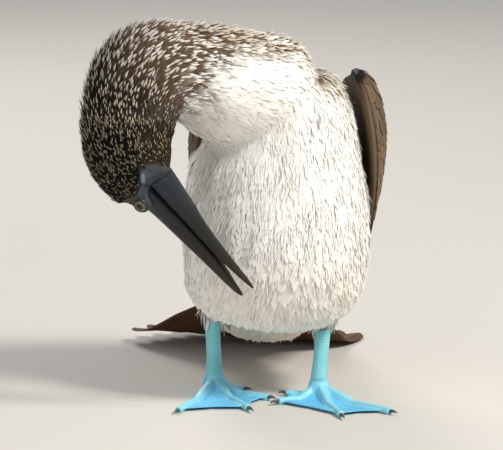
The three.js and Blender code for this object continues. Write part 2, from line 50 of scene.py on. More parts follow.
# %% [markdown]
# The bird looks out of the picture towards -Y, and its own left side is +X. The camera is a long
# lens, a little above the bird's back, so the far legs and the tail stay nearly in true size.
# The picture is 503 by 450 pixels, and one pixel is 0.8 mm at the bird.

# %% Camera
PICTURE_WIDTH = 503
MM_PER_PIXEL = 0.8
CAMERA_DISTANCE = 3.4
CAMERA_RISE = math.radians(10)
SENSOR_WIDTH = 36
PICTURE_MIDDLE = Vector((9.83, -70.96, 139.6)) * MM


def make_camera():
    data = bpy.data.cameras.new("camera")
    data.sensor_width = SENSOR_WIDTH
    data.sensor_fit = "HORIZONTAL"
    picture_width = PICTURE_WIDTH * MM_PER_PIXEL * MM
    data.lens = SENSOR_WIDTH * CAMERA_DISTANCE / picture_width
    camera = bpy.data.objects.new("camera", data)
    back = Vector((0, -math.cos(CAMERA_RISE), math.sin(CAMERA_RISE)))
    camera.location = PICTURE_MIDDLE + back * CAMERA_DISTANCE
    camera.rotation_euler = (math.radians(90) - CAMERA_RISE, 0, 0)
    bpy.context.scene.collection.objects.link(camera)
    bpy.context.scene.camera = camera
    print("lens", round(data.lens, 1), "mm, camera at", tuple(camera.location))


make_camera()

# %% [markdown]
# Materials are built from nodes. Every plumage piece stores a colour at each corner of its
# vanes, and the material only adds fine barb lines and a soft sheen. Colours are given as the
# values that a colour picker shows, and turned to linear light here.


# %% Material helpers
SHEEN_ROUGHNESS = 0.5


def linear(hex_colour):
    """A picked colour such as 0xF1ECE1 as linear red, green and blue."""
    parts = [(hex_colour >> shift & 255) / 255 for shift in (16, 8, 0)]
    return np.array([c / 12.92 if c <= 0.04045 else ((c + 0.055) / 1.055) ** 2.4 for c in parts])


class Recipe:
    """A Principled material and a short way to add and wire its nodes."""

    def __init__(self, name, roughness=0.6, sheen=0.0, coat=0.0, specular=0.5):
        self.material = bpy.data.materials.new(name)
        self.material.use_nodes = True
        self.tree = self.material.node_tree
        self.shader = self.tree.nodes["Principled BSDF"]
        settings = {
            "Roughness": roughness, "Sheen Weight": sheen, "Sheen Roughness": SHEEN_ROUGHNESS,
            "Coat Weight": coat, "Specular IOR Level": specular,
        }
        for socket, value in settings.items():
            self.shader.inputs[socket].default_value = value

    def wire(self, socket, value):
        """Links an output to a socket, or sets the socket to a plain value."""
        if isinstance(value, bpy.types.NodeSocket):
            self.tree.links.new(value, socket)
        else:
            socket.default_value = value

    def node(self, kind, **inputs):
        made = self.tree.nodes.new(kind)
        for name, value in inputs.items():
            self.wire(made.inputs[name.replace("_", " ")], value)
        return made

    def maths(self, kind, first, second=0.0):
        made = self.node("ShaderNodeMath")
        made.operation = kind
        self.wire(made.inputs[0], first)
        self.wire(made.inputs[1], second)
        return made.outputs[0]

    def attribute(self, name, output):
        made = self.node("ShaderNodeAttribute")
        made.attribute_name = name
        return made.outputs[output]

    def tint(self):
        return self.attribute("tint", "Color")

    def mottle(self, scale, detail=4.0):
        place = self.node("ShaderNodeTexCoord").outputs["Object"]
        noise = self.node("ShaderNodeTexNoise", Vector=place, Scale=scale, Detail=detail)
        return noise.outputs["Fac"]

    def shaded(self, colour, factor, low, high):
        """The colour times a factor from 0 to 1 that is spread from low to high."""
        band = self.node("ShaderNodeMapRange", Value=factor, To_Min=low, To_Max=high)
        made = self.node("ShaderNodeMix")
        made.data_type = "RGBA"
        made.blend_type = "MULTIPLY"
        made.inputs["Factor"].default_value = 1.0
        self.wire(made.inputs["A"], colour)
        self.wire(made.inputs["B"], band.outputs["Result"])
        return made.outputs["Result"]

    def colour(self, socket):
        self.wire(self.shader.inputs["Base Color"], socket)

    def bump(self, height, strength, distance):
        made = self.node("ShaderNodeBump", Height=height, Strength=strength, Distance=distance)
        self.wire(self.shader.inputs["Normal"], made.outputs["Normal"])


print("picked mid grey 0x808080 is", linear(0x808080).round(3), "in linear light")

# %% [markdown]
# The bird stands on a plain pale floor under soft studio light. One large lamp comes from the
# upper right, as the sun does on such a bird, a wide weak one fills the left side, and the sky
# colour lifts the rest.

# %% Floor and lights
FLOOR_HALF = 6.0
FLOOR_COLOUR = linear(0xD9D4CC)
FLOOR_CLOUD_SCALE = 1.5
FLOOR_UNEVENNESS = 0.03
SKY_COLOUR = (0.9, 0.95, 1.0, 1)
SKY_STRENGTH = 0.38
# name, place in metres, size, watts, colour
LAMPS = [
    ("key_lamp", (1.5, -1.1, 1.9), 0.6, 58, (1.0, 0.97, 0.92)),
    ("fill_lamp", (-1.9, -2.0, 1.0), 2.0, 11, (0.93, 0.96, 1.0)),
    ("rim_lamp", (-0.6, 1.8, 1.7), 1.0, 22, (1.0, 0.98, 0.95)),
]


def make_floor():
    mesh = bpy.data.meshes.new("floor")
    corners = [(-FLOOR_HALF, -FLOOR_HALF, 0), (FLOOR_HALF, -FLOOR_HALF, 0)]
    corners += [(FLOOR_HALF, FLOOR_HALF, 0), (-FLOOR_HALF, FLOOR_HALF, 0)]
    mesh.from_pydata(corners, [], [(0, 1, 2, 3)])
    floor = bpy.data.objects.new("floor", mesh)
    bpy.context.scene.collection.objects.link(floor)
    recipe = Recipe("floor_paint", roughness=0.9, specular=0.2)
    ramp = recipe.node("ShaderNodeValToRGB", Fac=recipe.mottle(FLOOR_CLOUD_SCALE))
    for element, sign in zip(ramp.color_ramp.elements, (-1, 1)):
        element.color = (*(FLOOR_COLOUR * (1 + sign * FLOOR_UNEVENNESS)), 1)
    recipe.colour(ramp.outputs["Color"])
    mesh.materials.append(recipe.material)


def make_lamp(name, place, size, watts, colour):
    data = bpy.data.lights.new(name, "AREA")
    data.size = size
    data.energy = watts
    data.color = colour
    lamp = bpy.data.objects.new(name, data)
    lamp.location = place
    aim = PICTURE_MIDDLE - Vector(place)
    lamp.rotation_euler = aim.to_track_quat("-Z", "Y").to_euler()
    bpy.context.scene.collection.objects.link(lamp)


make_floor()
for lamp in LAMPS:
    make_lamp(*lamp)
world = bpy.data.worlds.new("studio")
world.use_nodes = True
sky = world.node_tree.nodes["Background"].inputs
sky["Color"].default_value = SKY_COLOUR
sky["Strength"].default_value = SKY_STRENGTH
bpy.context.scene.world = world
bpy.context.scene.view_settings.view_transform = "Standard"
print("lamps", [lamp[0] for lamp in LAMPS])

# %% [markdown]
# Numbers that describe the bird's build. The head has a frame of its own: a point between the
# eyes, and the directions it looks in. The neck is a row of stations from the face to the
# shoulders, each with a point on its outer edge and one on its inner edge.

# %% The bird's build
ORIGIN_SHIFT = np.array([23.03, -70.983, 0.0])
HEAD_CENTRE = (np.array([-86.2, -93.0, 182.8]) + ORIGIN_SHIFT) * MM
HEAD_FORWARD = np.array([0.618, 0.146, -0.772])
HEAD_FORWARD /= np.linalg.norm(HEAD_FORWARD)
HEAD_ROLL = math.radians(20)


def head_axes():
    side = np.array([0.0, -1.0, 0.0])
    side -= HEAD_FORWARD * side.dot(HEAD_FORWARD)
    side /= np.linalg.norm(side)
    crown = np.cross(HEAD_FORWARD, side)
    cos, sin = math.cos(HEAD_ROLL), math.sin(HEAD_ROLL)
    turned_crown = crown * cos + np.cross(HEAD_FORWARD, crown) * sin
    turned_side = side * cos + np.cross(HEAD_FORWARD, side) * sin
    return turned_crown, turned_side


HEAD_CROWN, HEAD_SIDE = head_axes()


def head_point(forward, crown, side):
    """Points in the head's frame, in millimetres: forward, up to the crown, to the bird's left."""
    parts = np.multiply.outer(forward, HEAD_FORWARD) + np.multiply.outer(crown, HEAD_CROWN)
    return HEAD_CENTRE + (parts + np.multiply.outer(side, HEAD_SIDE)) * MM


NECK_STATIONS = np.array([
    [-96.9, -93.4, 166.5, -61.0, -92.4, 196.5],
    [-127, -92, 180.6, -70.5, -101, 215],
    [-142.5, -91, 201, -70.5, -99, 228],
    [-148, -91, 231, -70, -95, 232.5],
    [-146, -88, 259.5, -69.4, -91, 233.5],
    [-136, -84, 289, -68.6, -86, 234.2],
    [-114, -78, 309.5, -67.6, -80, 234],
    [-92, -72, 315, -65.5, -74, 231.5],
    [-70, -62, 312, -59, -64, 224],
    [-42, -44, 308, -46, -48, 206],
    [-10, -22, 300.5, -24, -24, 186],
    [22, 2, 285, 0, 6, 170],
    [44, 14, 262, 14, 20, 160],
])
OUTER_EDGE = (NECK_STATIONS[:, :3] + ORIGIN_SHIFT) * MM
INNER_EDGE = (NECK_STATIONS[:, 3:] + ORIGIN_SHIFT) * MM
NECK_LINE = (OUTER_EDGE + INNER_EDGE) / 2
NECK_OUTWARD = OUTER_EDGE - INNER_EDGE
NECK_OUTWARD /= np.linalg.norm(NECK_OUTWARD, axis=1, keepdims=True)


def unit(vectors):
    return vectors / np.maximum(np.linalg.norm(vectors, axis=-1, keepdims=True), 1e-12)


def smooth(value, low, high):
    """0 below low, 1 above high, and an S between."""
    t = np.clip((value - low) / (high - low), 0, 1)
    return t * t * (3 - 2 * t)


def mix(a, b, t):
    return a + (b - a) * t


def hump(value, middle, width):
    """1 at the middle, falling off to both sides."""
    return np.exp(-(((value - middle) / width) ** 2))


print("neck stations", len(NECK_LINE))

# %% [markdown]
# Feathers never repeat, so many places below need a gentle, seeded unevenness. `waves` adds a
# few sine waves in random directions: it is smooth, quick on whole arrays, and gives the same
# values in every run.


# %% Seeded unevenness
WAVES = 7
WAVES_SPREAD = 3.2


def waves(points, size, seed):
    """Smooth values of about -1 to 1 that change over the given size, in metres."""
    rng = np.random.default_rng(seed)
    total = np.zeros(len(points))
    for _ in range(WAVES):
        direction = unit(rng.normal(size=3)) * rng.uniform(0.7, 1.5) * 2 * math.pi / size
        total += np.sin(points @ direction + rng.uniform(0, 2 * math.pi))
    return np.clip(total / WAVES_SPREAD, -1, 1)


# %% [markdown]
# Several pieces are drawn as a row of rings: the two halves of the bill, the wing's core and the
# long feathers. `smooth_rows` reads a value anywhere along a table of stations, on a curve that
# passes through each of them, and `ring_faces` closes the rings into one solid.


# %% Forms drawn from rings
def smooth_rows(rows, place):
    """Values at places from 0 to 1 along rows of numbers, on a smooth curve through the rows."""
    rows = np.asarray(rows, float)
    last = len(rows) - 1
    x = np.clip(place, 0, 1) * last
    i = np.minimum(np.floor(x).astype(int), last - 1)
    t = (x - i)[..., None]
    p0, p1, p2, p3 = (rows[np.clip(i + k, 0, last)] for k in (-1, 0, 1, 2))
    v0, v1 = (p2 - p0) / 2, (p3 - p1) / 2
    curve = (2 * p1 - 2 * p2 + v0 + v1) * t**3 + (3 * p2 - 3 * p1 - 2 * v0 - v1) * t * t
    return curve + v0 * t + p1


def ring_faces(rings, sides):
    """Quads between rings of points, and a fan at each end to a middle point added last."""
    faces = []
    for ring in range(rings - 1):
        for side in range(sides):
            a, b = ring * sides + side, ring * sides + (side + 1) % sides
            faces.append((a, b, b + sides, a + sides))
    first, last = rings * sides, rings * sides + 1
    for side in range(sides):
        after = (side + 1) % sides
        faces.append((first, after, side))
        faces.append((last, (rings - 1) * sides + side, (rings - 1) * sides + after))
    return faces


# %% [markdown]
# Every piece is finished in the same way: it keeps a colour at each of its corners, its faces are
# turned outwards, it is given its material and hung from the root, and the solids that it stands
# for are hidden.


# %% Finish a piece
def link(mesh, name):
    piece = bpy.data.objects.new(name, mesh)
    bpy.context.scene.collection.objects.link(piece)
    return piece


def store_colour(mesh, values, name="tint"):
    """Keeps a colour, or any three values, at each corner of a mesh."""
    layer = mesh.color_attributes.new(name, "FLOAT_COLOR", "POINT")
    rgba = np.ones((len(mesh.vertices), 4), np.float32)
    rgba[:, :3] = values
    layer.data.foreach_set("color", rgba.ravel())


def smooth_shade(mesh):
    mesh.polygons.foreach_set("use_smooth", np.ones(len(mesh.polygons), bool))


def ringed_piece(name, rings, colours):
    """A closed piece from an array of rings of points, with a colour for each point."""
    count, sides = rings.shape[:2]
    points = np.vstack([rings.reshape(-1, 3), rings[0].mean(axis=0), rings[-1].mean(axis=0)])
    tint = np.vstack([colours.reshape(-1, 3), colours[0, 0], colours[-1, 0]])
    mesh = bpy.data.meshes.new(name)
    mesh.from_pydata(points.tolist(), [], ring_faces(count, sides))
    turned_out(mesh)
    store_colour(mesh, tint)
    smooth_shade(mesh)
    return link(mesh, name)


def form_of(mesh):
    form = bmesh.new()
    form.from_mesh(mesh)
    return form


def into_mesh(form, mesh):
    form.to_mesh(mesh)
    form.free()


def turned_out(mesh, weld=0.0):
    """Joins corners nearer than weld and makes every face of a closed mesh point outwards."""
    form = form_of(mesh)
    if weld:
        bmesh.ops.remove_doubles(form, verts=form.verts, dist=weld)
    bmesh.ops.recalc_face_normals(form, faces=form.faces)
    into_mesh(form, mesh)


def full_turn(sides):
    """Even angles once round, as one row."""
    return np.arange(sides)[None, :] / sides * 2 * math.pi


def finish(piece, material, slot, *nodes):
    """Gives a piece its material and hides the solids that it stands for. The slot is not used."""
    piece.data.materials.append(material)
    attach(piece, "root")
    if nodes:
        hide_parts(*nodes)
    return piece


print("two rings of eight points close with", len(ring_faces(2, 8)), "faces")

# %% [markdown]
# The bill is long, straight and pointed, in two halves that shut on each other. Each half is
# drawn from the same stations as its solid, with many more rings, a long groove on each side and
# a sharp cutting edge. It is dull blue-grey horn, browner towards the tip.

# %% Bill
BILL_START = 7.6
BILL_LENGTH = 101.5
ROOT_REACH = 0.22
ROOT_SPREAD = 0.17
WIDEST_SHARE = 0.22
FACE_FRONT = 7.2
BILL_ROOT = np.array([[-22, -5], [-14, -10], [-6, -13], [-1, -9], [5, 2], [11, 7.4], [22, 7.4]])
UPPER_BILL = [
    [0, 15.6, -4.6, 13.6], [0.06, 14.4, -4.6, 13.2], [0.2, 12.9, -4.5, 11.4],
    [0.38, 11.2, -4.3, 9.2], [0.56, 9.3, -3.6, 7], [0.74, 7.6, -1.6, 4.9],
    [0.88, 6.2, 0.2, 3.2], [0.96, 4.8, 1, 2], [1, 3.2, 1.6, 0.7],
]
LOWER_BILL = [
    [0, -5.1, -19.3, 13.2], [0.06, -5.1, -18.6, 12.8], [0.2, -5, -15.6, 11],
    [0.38, -4.9, -12.7, 8.8], [0.56, -4.7, -11.7, 6.6], [0.74, -5.6, -11.2, 4.5],
    [0.88, -7, -10.9, 2.9], [0.96, -8, -10.4, 1.8], [1, -8.7, -9.7, 0.7],
]
BILL_RINGS = 60
BILL_SIDES = 40
GROOVE_DEPTH = 0.55
GROOVE_WIDTH = 0.16
GROOVE_SHADE_WIDTH = 0.1
EDGE_SHARPNESS = 0.5
BILL_BASE_COLOUR = linear(0x282D34)
BILL_MIDDLE_COLOUR = linear(0x252421)
BILL_TIP_COLOUR = linear(0x3A2E23)
BILL_CREVICE_SHADE = linear(0x1C1A18)


def bill_half(name, rows, ridge_up, groove_rise):
    share = np.linspace(0, 1, BILL_RINGS)
    place, over, under, half = (v[:, None] for v in smooth_rows(rows, share).T)
    angle = full_turn(BILL_SIDES)
    rise, reach = np.sin(angle), np.cos(angle)
    widest = mix(under, over, WIDEST_SHARE) if ridge_up else mix(over, under, WIDEST_SHARE)
    crown = widest + np.where(rise > 0, (over - widest) * rise, (widest - under) * rise)
    root_share = 1 - smooth(place, 0, ROOT_REACH)
    back = (np.interp(crown, *BILL_ROOT.T) - FACE_FRONT) * root_share
    groove = hump(rise, groove_rise, GROOVE_WIDTH) * GROOVE_DEPTH * smooth(place, 1, 0.7)
    inner = rise < 0 if ridge_up else rise > 0
    reach = np.where(inner, np.sign(reach) * np.abs(reach) ** EDGE_SHARPNESS, reach)
    side = (half - ROOT_SPREAD * back - groove) * reach
    forward = BILL_START + place * BILL_LENGTH + back + 0 * angle
    rings = head_point(forward, crown, side)
    tone = mix(BILL_BASE_COLOUR, BILL_MIDDLE_COLOUR, smooth(place, 0, 0.35)[..., None])
    tone = mix(tone, BILL_TIP_COLOUR, smooth(place, 0.5, 1)[..., None])
    # painted shade: the horn darkens along the groove and towards the edge where the halves meet
    edge = smooth(-rise if ridge_up else rise, 0.85, 1.0)[..., None]
    groove_shade = hump(rise, groove_rise, GROOVE_SHADE_WIDTH)[..., None]
    tone = mix(tone, BILL_CREVICE_SHADE, np.clip(0.75 * edge + 0.45 * groove_shade, 0, 1))
    piece = ringed_piece(name, rings, np.broadcast_to(tone, rings.shape))
    print(name, len(piece.data.polygons), "faces")
    return finish(piece, BILL_HORN, "bill_horn", name.replace("horn_", "bill_"))


def horn_material(name, roughness, grain_scale):
    recipe = Recipe(name, roughness=roughness, specular=0.22)
    fine = recipe.mottle(grain_scale, detail=6.0)
    cloudy = recipe.shaded(recipe.tint(), recipe.mottle(scale=60.0, detail=5.0), low=0.75, high=1.25)
    recipe.colour(recipe.shaded(cloudy, fine, low=0.88, high=1.1))
    recipe.bump(fine, strength=0.35, distance=0.0002)
    return recipe.material


BILL_HORN = horn_material("bill_horn_finish", roughness=0.42, grain_scale=900.0)
HORN_UPPER = bill_half("horn_upper", UPPER_BILL, ridge_up=True, groove_rise=0.35)
HORN_LOWER = bill_half("horn_lower", LOWER_BILL, ridge_up=False, groove_rise=-0.5)

# %% [markdown]
# The eye is a wet ball with a pale iris, a round pupil and a slightly raised cornea. The iris
# is painted a dull olive-grey, as the pale iris looks in shade. Most of the ball lies behind the
# lids, so what is behind the iris is painted dark, as shade.

# %% Eyes
EYEBALL_RADIUS = 7.1 * MM
EYE_FORWARD = -3.0
EYE_CROWN = 9.0
EYE_SIDE = 14.0
EYE_TURN_TO_CROWN = 0.2
CORNEA_RISE = 0.4 * MM
EYE_RINGS = 60
POLE_GAP = 0.02
EYE_SEGMENTS = 64
PUPIL_REACH = math.radians(22)
IRIS_REACH = math.radians(45)
# painted shade: the pale iris is given the dull olive-grey that it shows in shade
IRIS_IN_SHADE = linear(0x6A6852)
IRIS_RIM_COLOUR = linear(0x25241D)
PUPIL_COLOUR = linear(0x08080A)
# painted shade on the part of the ball that lies behind the lids
HIDDEN_BALL_SHADE = linear(0x24211E)


def eye_place(side):
    centre = head_point(EYE_FORWARD, EYE_CROWN, side * EYE_SIDE)
    axis = unit(side * HEAD_SIDE + EYE_TURN_TO_CROWN * HEAD_CROWN)
    across = unit(np.cross(axis, HEAD_FORWARD))
    return centre, axis, np.cross(across, axis), across


def eye_piece(name, side):
    centre, axis, ahead, across = eye_place(side)
    tilt = np.linspace(POLE_GAP, math.pi - POLE_GAP, EYE_RINGS)[:, None]
    turn = full_turn(EYE_SEGMENTS)
    radius = EYEBALL_RADIUS + CORNEA_RISE * smooth(tilt, IRIS_REACH, 0)
    out = np.cos(tilt)[..., None] * axis
    flat = np.cos(turn)[..., None] * ahead + np.sin(turn)[..., None] * across
    rings = centre + radius[..., None] * (out + np.sin(tilt)[..., None] * flat)
    fibres = 0.5 + 0.5 * np.sin(turn * 23 + np.sin(turn * 7) * 2)
    iris = mix(IRIS_IN_SHADE * 0.8, IRIS_IN_SHADE * 1.15, (fibres + 0 * tilt)[..., None])
    iris = mix(iris, IRIS_RIM_COLOUR, smooth(tilt, IRIS_REACH * 0.75, IRIS_REACH)[..., None])
    tone = mix(PUPIL_COLOUR, iris, smooth(tilt, PUPIL_REACH - 0.03, PUPIL_REACH + 0.03)[..., None])
    tone = mix(tone, HIDDEN_BALL_SHADE, smooth(tilt, IRIS_REACH, IRIS_REACH + 0.08)[..., None])
    piece = ringed_piece(name, rings, np.broadcast_to(tone, rings.shape))
    recipe = Recipe(name + "_wet", roughness=0.08, coat=0.2, specular=0.4)
    recipe.colour(recipe.shaded(recipe.tint(), recipe.mottle(scale=900), low=0.9, high=1.1))
    finish(piece, recipe.material, "iris", name.replace("eyeball", "eye"))
    print(name, len(piece.data.polygons), "faces")


eye_piece("eyeball_left", 1)
eye_piece("eyeball_right", -1)

# %% [markdown]
# The flesh: head, neck, trunk, legs and feet become one skin. The solids are grown by a hair so
# that they merge, remeshed into even quads, smoothed, and drawn inwards by the depth of the
# coat. The legs and feet are bare, so they keep their size and get a finer mesh of their own
# before the two are joined into one closed surface.

# %% Merge and remesh
BODY_NODES = ("head", "neck", "trunk")
MERGE_GROWTH = 0.5 * MM
WELD = 0.01 * MM
BODY_VOXEL = 2.4 * MM
BODY_SMOOTHING = 10
# round the eye, ahead of it and behind it: forward, crown, aside, radius
SWELLINGS = ((-3.0, 9.0, 14.0, 9.3), (3.5, 7.0, 11.0, 6.2), (-11.0, 10.0, 11.0, 9.0))


def merged_nodes(names, growth):
    form = bmesh.new()
    for name in names:
        form.from_mesh(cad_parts[name].data)
    bmesh.ops.remove_doubles(form, verts=form.verts, dist=WELD)
    bmesh.ops.recalc_face_normals(form, faces=form.faces)
    form.normal_update()
    for vertex in form.verts:
        vertex.co += vertex.normal * growth
    return form


def with_modifier(piece, kind, **settings):
    """Applies one modifier to a piece and returns the piece."""
    modifier = piece.modifiers.new(kind.lower(), kind)
    for key, value in settings.items():
        setattr(modifier, key, value)
    shaped = piece.evaluated_get(bpy.context.evaluated_depsgraph_get())
    mesh = bpy.data.meshes.new_from_object(shaped)
    piece.modifiers.clear()
    piece.data = mesh
    return piece


def remeshed(form, name, voxel, smoothing):
    mesh = bpy.data.meshes.new(name)
    into_mesh(form, mesh)
    piece = link(mesh, name)
    with_modifier(piece, "REMESH", mode="VOXEL", voxel_size=voxel)
    return with_modifier(piece, "SMOOTH", factor=0.5, iterations=smoothing)


def corners_of(mesh):
    values = np.empty(len(mesh.vertices) * 3)
    mesh.vertices.foreach_get("co", values)
    return values.reshape(-1, 3)


def normals_of(mesh):
    values = np.empty(len(mesh.vertices) * 3, np.float32)
    mesh.vertex_normals.foreach_get("vector", values)
    return values.reshape(-1, 3).astype(float)


def move_corners(mesh, places):
    mesh.vertices.foreach_set("co", places.astype(np.float32).ravel())
    mesh.update()


def body_form():
    """The body's solids with a round swelling at each eye for the lids."""
    form = merged_nodes(BODY_NODES, MERGE_GROWTH)
    for side in (1, -1):
        for forward, crown, aside, radius in SWELLINGS:
            ball = bmesh.ops.create_icosphere(form, subdivisions=4, radius=radius * MM)
            centre = head_point(forward, crown, side * aside)
            bmesh.ops.translate(form, verts=ball["verts"], vec=Vector(centre))
    return form


body = remeshed(body_form(), "skin", BODY_VOXEL, BODY_SMOOTHING)
print("body skin", len(body.data.vertices), "corners")

# %% [markdown]
# Everything that the feathers follow is worked out once for every corner of the skin: how far it
# lies along the neck from the face, whether it is on the outer or the inner side of the bend,
# how much it belongs to the neck rather than the trunk, and which way the feathers lie there.
# Feathers lie from the bill back over the head, along the neck, down the breast and back under
# the belly to the tail.


# %% Fields over the skin
def along_line(points, line):
    """For each point the nearest place on a line of stations: station number and way along it."""
    starts, steps = line[:-1], np.diff(line, axis=0)
    lengths = np.linalg.norm(steps, axis=1)
    best = np.full(len(points), np.inf)
    station, share = np.zeros(len(points)), np.zeros(len(points))
    run = np.concatenate([[0], np.cumsum(lengths)])
    for i, (start, step) in enumerate(zip(starts, steps)):
        t = np.clip((points - start) @ step / lengths[i] ** 2, 0, 1)
        gap = np.linalg.norm(points - start - t[:, None] * step, axis=1)
        nearer = gap < best
        best[nearer] = gap[nearer]
        station[nearer] = i + t[nearer]
        share[nearer] = run[i] + t[nearer] * lengths[i]
    return station, share


def blended_rows(rows, station):
    low = np.clip(np.floor(station).astype(int), 0, len(rows) - 2)
    return mix(rows[low], rows[low + 1], (station - low)[:, None])


def tree_of(mesh):
    form = form_of(mesh)
    tree = BVHTree.FromBMesh(form)
    form.free()
    return tree


NODE_TREES = {name: tree_of(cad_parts[name].data) for name in BODY_NODES}


def distance_to(tree, points):
    return np.array([tree.find_nearest(Vector(p))[3] for p in points])


NECK_TANGENTS = np.gradient(NECK_LINE, axis=0)
NECK_TANGENTS[0] = -HEAD_FORWARD
NECK_TANGENTS = unit(NECK_TANGENTS)
DOWN_THE_FRONT = np.array([-0.1, -0.12, -1.0])
BACK_TO_THE_TAIL = np.array([0.0, 1.0, -0.5])
FRONT_MIDDLE = 0.03
PARTING = 2.0
NECK_BLEND = (-7 * MM, 9 * MM)
# heights and places from front to back, in metres, at which the lie turns towards the tail
LOW_HEIGHTS = (0.125, 0.06)
BEHIND_PLACES = (-0.05, 0.06)


def along_skin(vectors, normals):
    """The part of each vector that runs along the skin, as a unit vector."""
    return unit(vectors - normals * np.sum(vectors * normals, axis=1, keepdims=True))


def lie_of(points, normals, station, neckness):
    on_neck = unit(blended_rows(NECK_TANGENTS, station))
    low = smooth(points[:, 2], *LOW_HEIGHTS)
    behind = smooth(points[:, 1], *BEHIND_PLACES)
    backward = np.clip(low + 0.5 * behind, 0, 1)[:, None]
    on_trunk = mix(DOWN_THE_FRONT, BACK_TO_THE_TAIL, backward)
    on_trunk[:, 0] += (points[:, 0] - FRONT_MIDDLE) * PARTING
    return along_skin(mix(on_trunk, on_neck, neckness[:, None]), normals)


def skin_fields(points, normals):
    station, share = along_line(points, NECK_LINE)
    side = np.sum(normals * blended_rows(NECK_OUTWARD, station), axis=1)
    gap_trunk = distance_to(NODE_TREES["trunk"], points)
    gap_neck = distance_to(NODE_TREES["neck"], points)
    gap_neck = np.minimum(gap_neck, distance_to(NODE_TREES["head"], points))
    neckness = smooth(gap_trunk - gap_neck, *NECK_BLEND)
    lie = lie_of(points, normals, station, neckness)
    return {"share": share, "side": side, "neckness": neckness, "lie": lie}


# %% [markdown]
# The feathers of the face end at a line round the bill. Ahead of it the skin is bare, and runs on
# as the corner of the mouth and the strip under the lower bill. A ring of bare skin also
# surrounds each eye.

# %% Bare face
FEATHER_LINE = np.array([
    [-30, -14], [-24.5, -19.5], [-21, -26], [-14, -28.5], [-11, -26], [-8, -21.5], [-5.7, -18],
    [0, -15], [6, -11], [12, -3], [17, 4], [23, 7],
])
THROAT_POINT = 14
THROAT_HALF_WIDTHS = (15, 2)
THROAT_HEIGHTS = (-14, -20)
BARE_EYE_RING = 7.3 * MM
EYE_FLOOR = -7.0 * MM
EYE_RING_SOFTNESS = 0.7 * MM
HEAD_REACH = 45 * MM
LEG_EDGE = (0.3 * MM, 1.2 * MM)


def in_head_frame(points):
    local = (points - HEAD_CENTRE) / MM
    return local @ HEAD_FORWARD, local @ HEAD_CROWN, local @ HEAD_SIDE


def on_head(points):
    return np.linalg.norm(points - HEAD_CENTRE, axis=1) < HEAD_REACH


def round_eye(points, side):
    """Distance from an eye's axis, direction round it and height along it, from its centre."""
    centre, axis, ahead, across = eye_place(side)
    away = points - centre
    x, y = away @ ahead, away @ across
    return np.hypot(x, y), np.arctan2(y, x), away @ axis


def bareness(points):
    """0 under feathers and 1 on bare skin, with a band about 2 mm wide between."""
    forward, crown, aside = in_head_frame(points)
    throat = THROAT_POINT * smooth(np.abs(aside), *THROAT_HALF_WIDTHS) * smooth(crown, *THROAT_HEIGHTS)
    bare = smooth(forward - np.interp(crown, *FEATHER_LINE.T) - throat, -1, 1)
    for side in (1, -1):
        reach, _, height = round_eye(points, side)
        ring = smooth(reach, BARE_EYE_RING + EYE_RING_SOFTNESS, BARE_EYE_RING - EYE_RING_SOFTNESS)
        bare = np.maximum(bare, ring * (height > EYE_FLOOR))
    return bare * on_head(points)


def leg_bareness(points):
    """1 on legs and feet, 0 on the body."""
    gap = distance_to(BODY_TREE, points)
    return smooth(gap, *LEG_EDGE) * (points[:, 2] < LEG_TOP)


# %% [markdown]
# The coat is thin on the face and thicker down the neck and over the body, so the skin is drawn
# in by that depth. Around the face the mesh is then divided twice, fine enough for the lids.

# %% Draw the skin in by the coat's depth
FACE_DEPTH = 1.3 * MM
NECK_DEPTH = 3.4 * MM
TRUNK_DEPTH = 5.0 * MM
THIN_COAT = (0.01, 0.08)
FACE_MIDDLE = Vector(head_point(-7.0, -3.0, 0.0))
FINE_FACE_REACHES = (27 * MM, 27 * MM - 3 * MM)


def draw_in(mesh):
    points, normals = corners_of(mesh), normals_of(mesh)
    fields = skin_fields(points, normals)
    on_neck = mix(FACE_DEPTH, NECK_DEPTH, smooth(fields["share"], *THIN_COAT))
    depth = mix(TRUNK_DEPTH, on_neck, fields["neckness"]) * (1 - bareness(points)) + MERGE_GROWTH
    move_corners(mesh, points - normals * depth[:, None])
    print("drawn in by", (depth.min() / MM).round(2), "to", (depth.max() / MM).round(2), "mm")


def refine_face(mesh):
    form = form_of(mesh)
    bmesh.ops.triangulate(form, faces=[f for f in form.faces if len(f.verts) > 4])
    bmesh.ops.remove_doubles(form, verts=form.verts, dist=WELD)
    for reach in FINE_FACE_REACHES:
        middles = {e: (e.verts[0].co + e.verts[1].co) / 2 for e in form.edges}
        edges = [e for e, middle in middles.items() if (middle - FACE_MIDDLE).length < reach]
        bmesh.ops.subdivide_edges(form, edges=edges, cuts=1, use_grid_fill=True)
    bmesh.ops.triangulate(form, faces=form.faces)
    print("open edges", sum(1 for edge in form.edges if not edge.is_manifold))
    into_mesh(form, mesh)


draw_in(body.data)
with_modifier(body, "SMOOTH", factor=0.5, iterations=4)

# %% [markdown]
# Legs and feet are bare. They are merged on their own in finer quads, so that the thin webs and
# the toes keep their form. A peg on each leg runs up into the thigh, and the two meshes are
# joined there into one closed skin.

# %% Legs and feet
FOOT_NODES = ("leg_left", "foot_left", "leg_right", "foot_right")
FOOT_VOXEL = 0.85 * MM
FOOT_GROWTH = 0.2 * MM
FOOT_SMOOTHING = 3
LEGS = {
    "right": {
        "ankle": (-43, 14), "top": (-46, 20, 84),
        "tips": ((-20, 13), (0, -18), (-16, -57), (-71, -66)),
    },
    "left": {
        "ankle": (41, -10), "top": (47, 8, 80),
        "tips": ((15, -2), (8, -34), (57, -82), (96, -70)),
    },
}
PEG_SEGMENTS = 24
PEG_RADIUS = 6.2 * MM
PEG_LOW = 62 * MM
PEG_HIGH = 98 * MM
LEG_TOP = 72 * MM


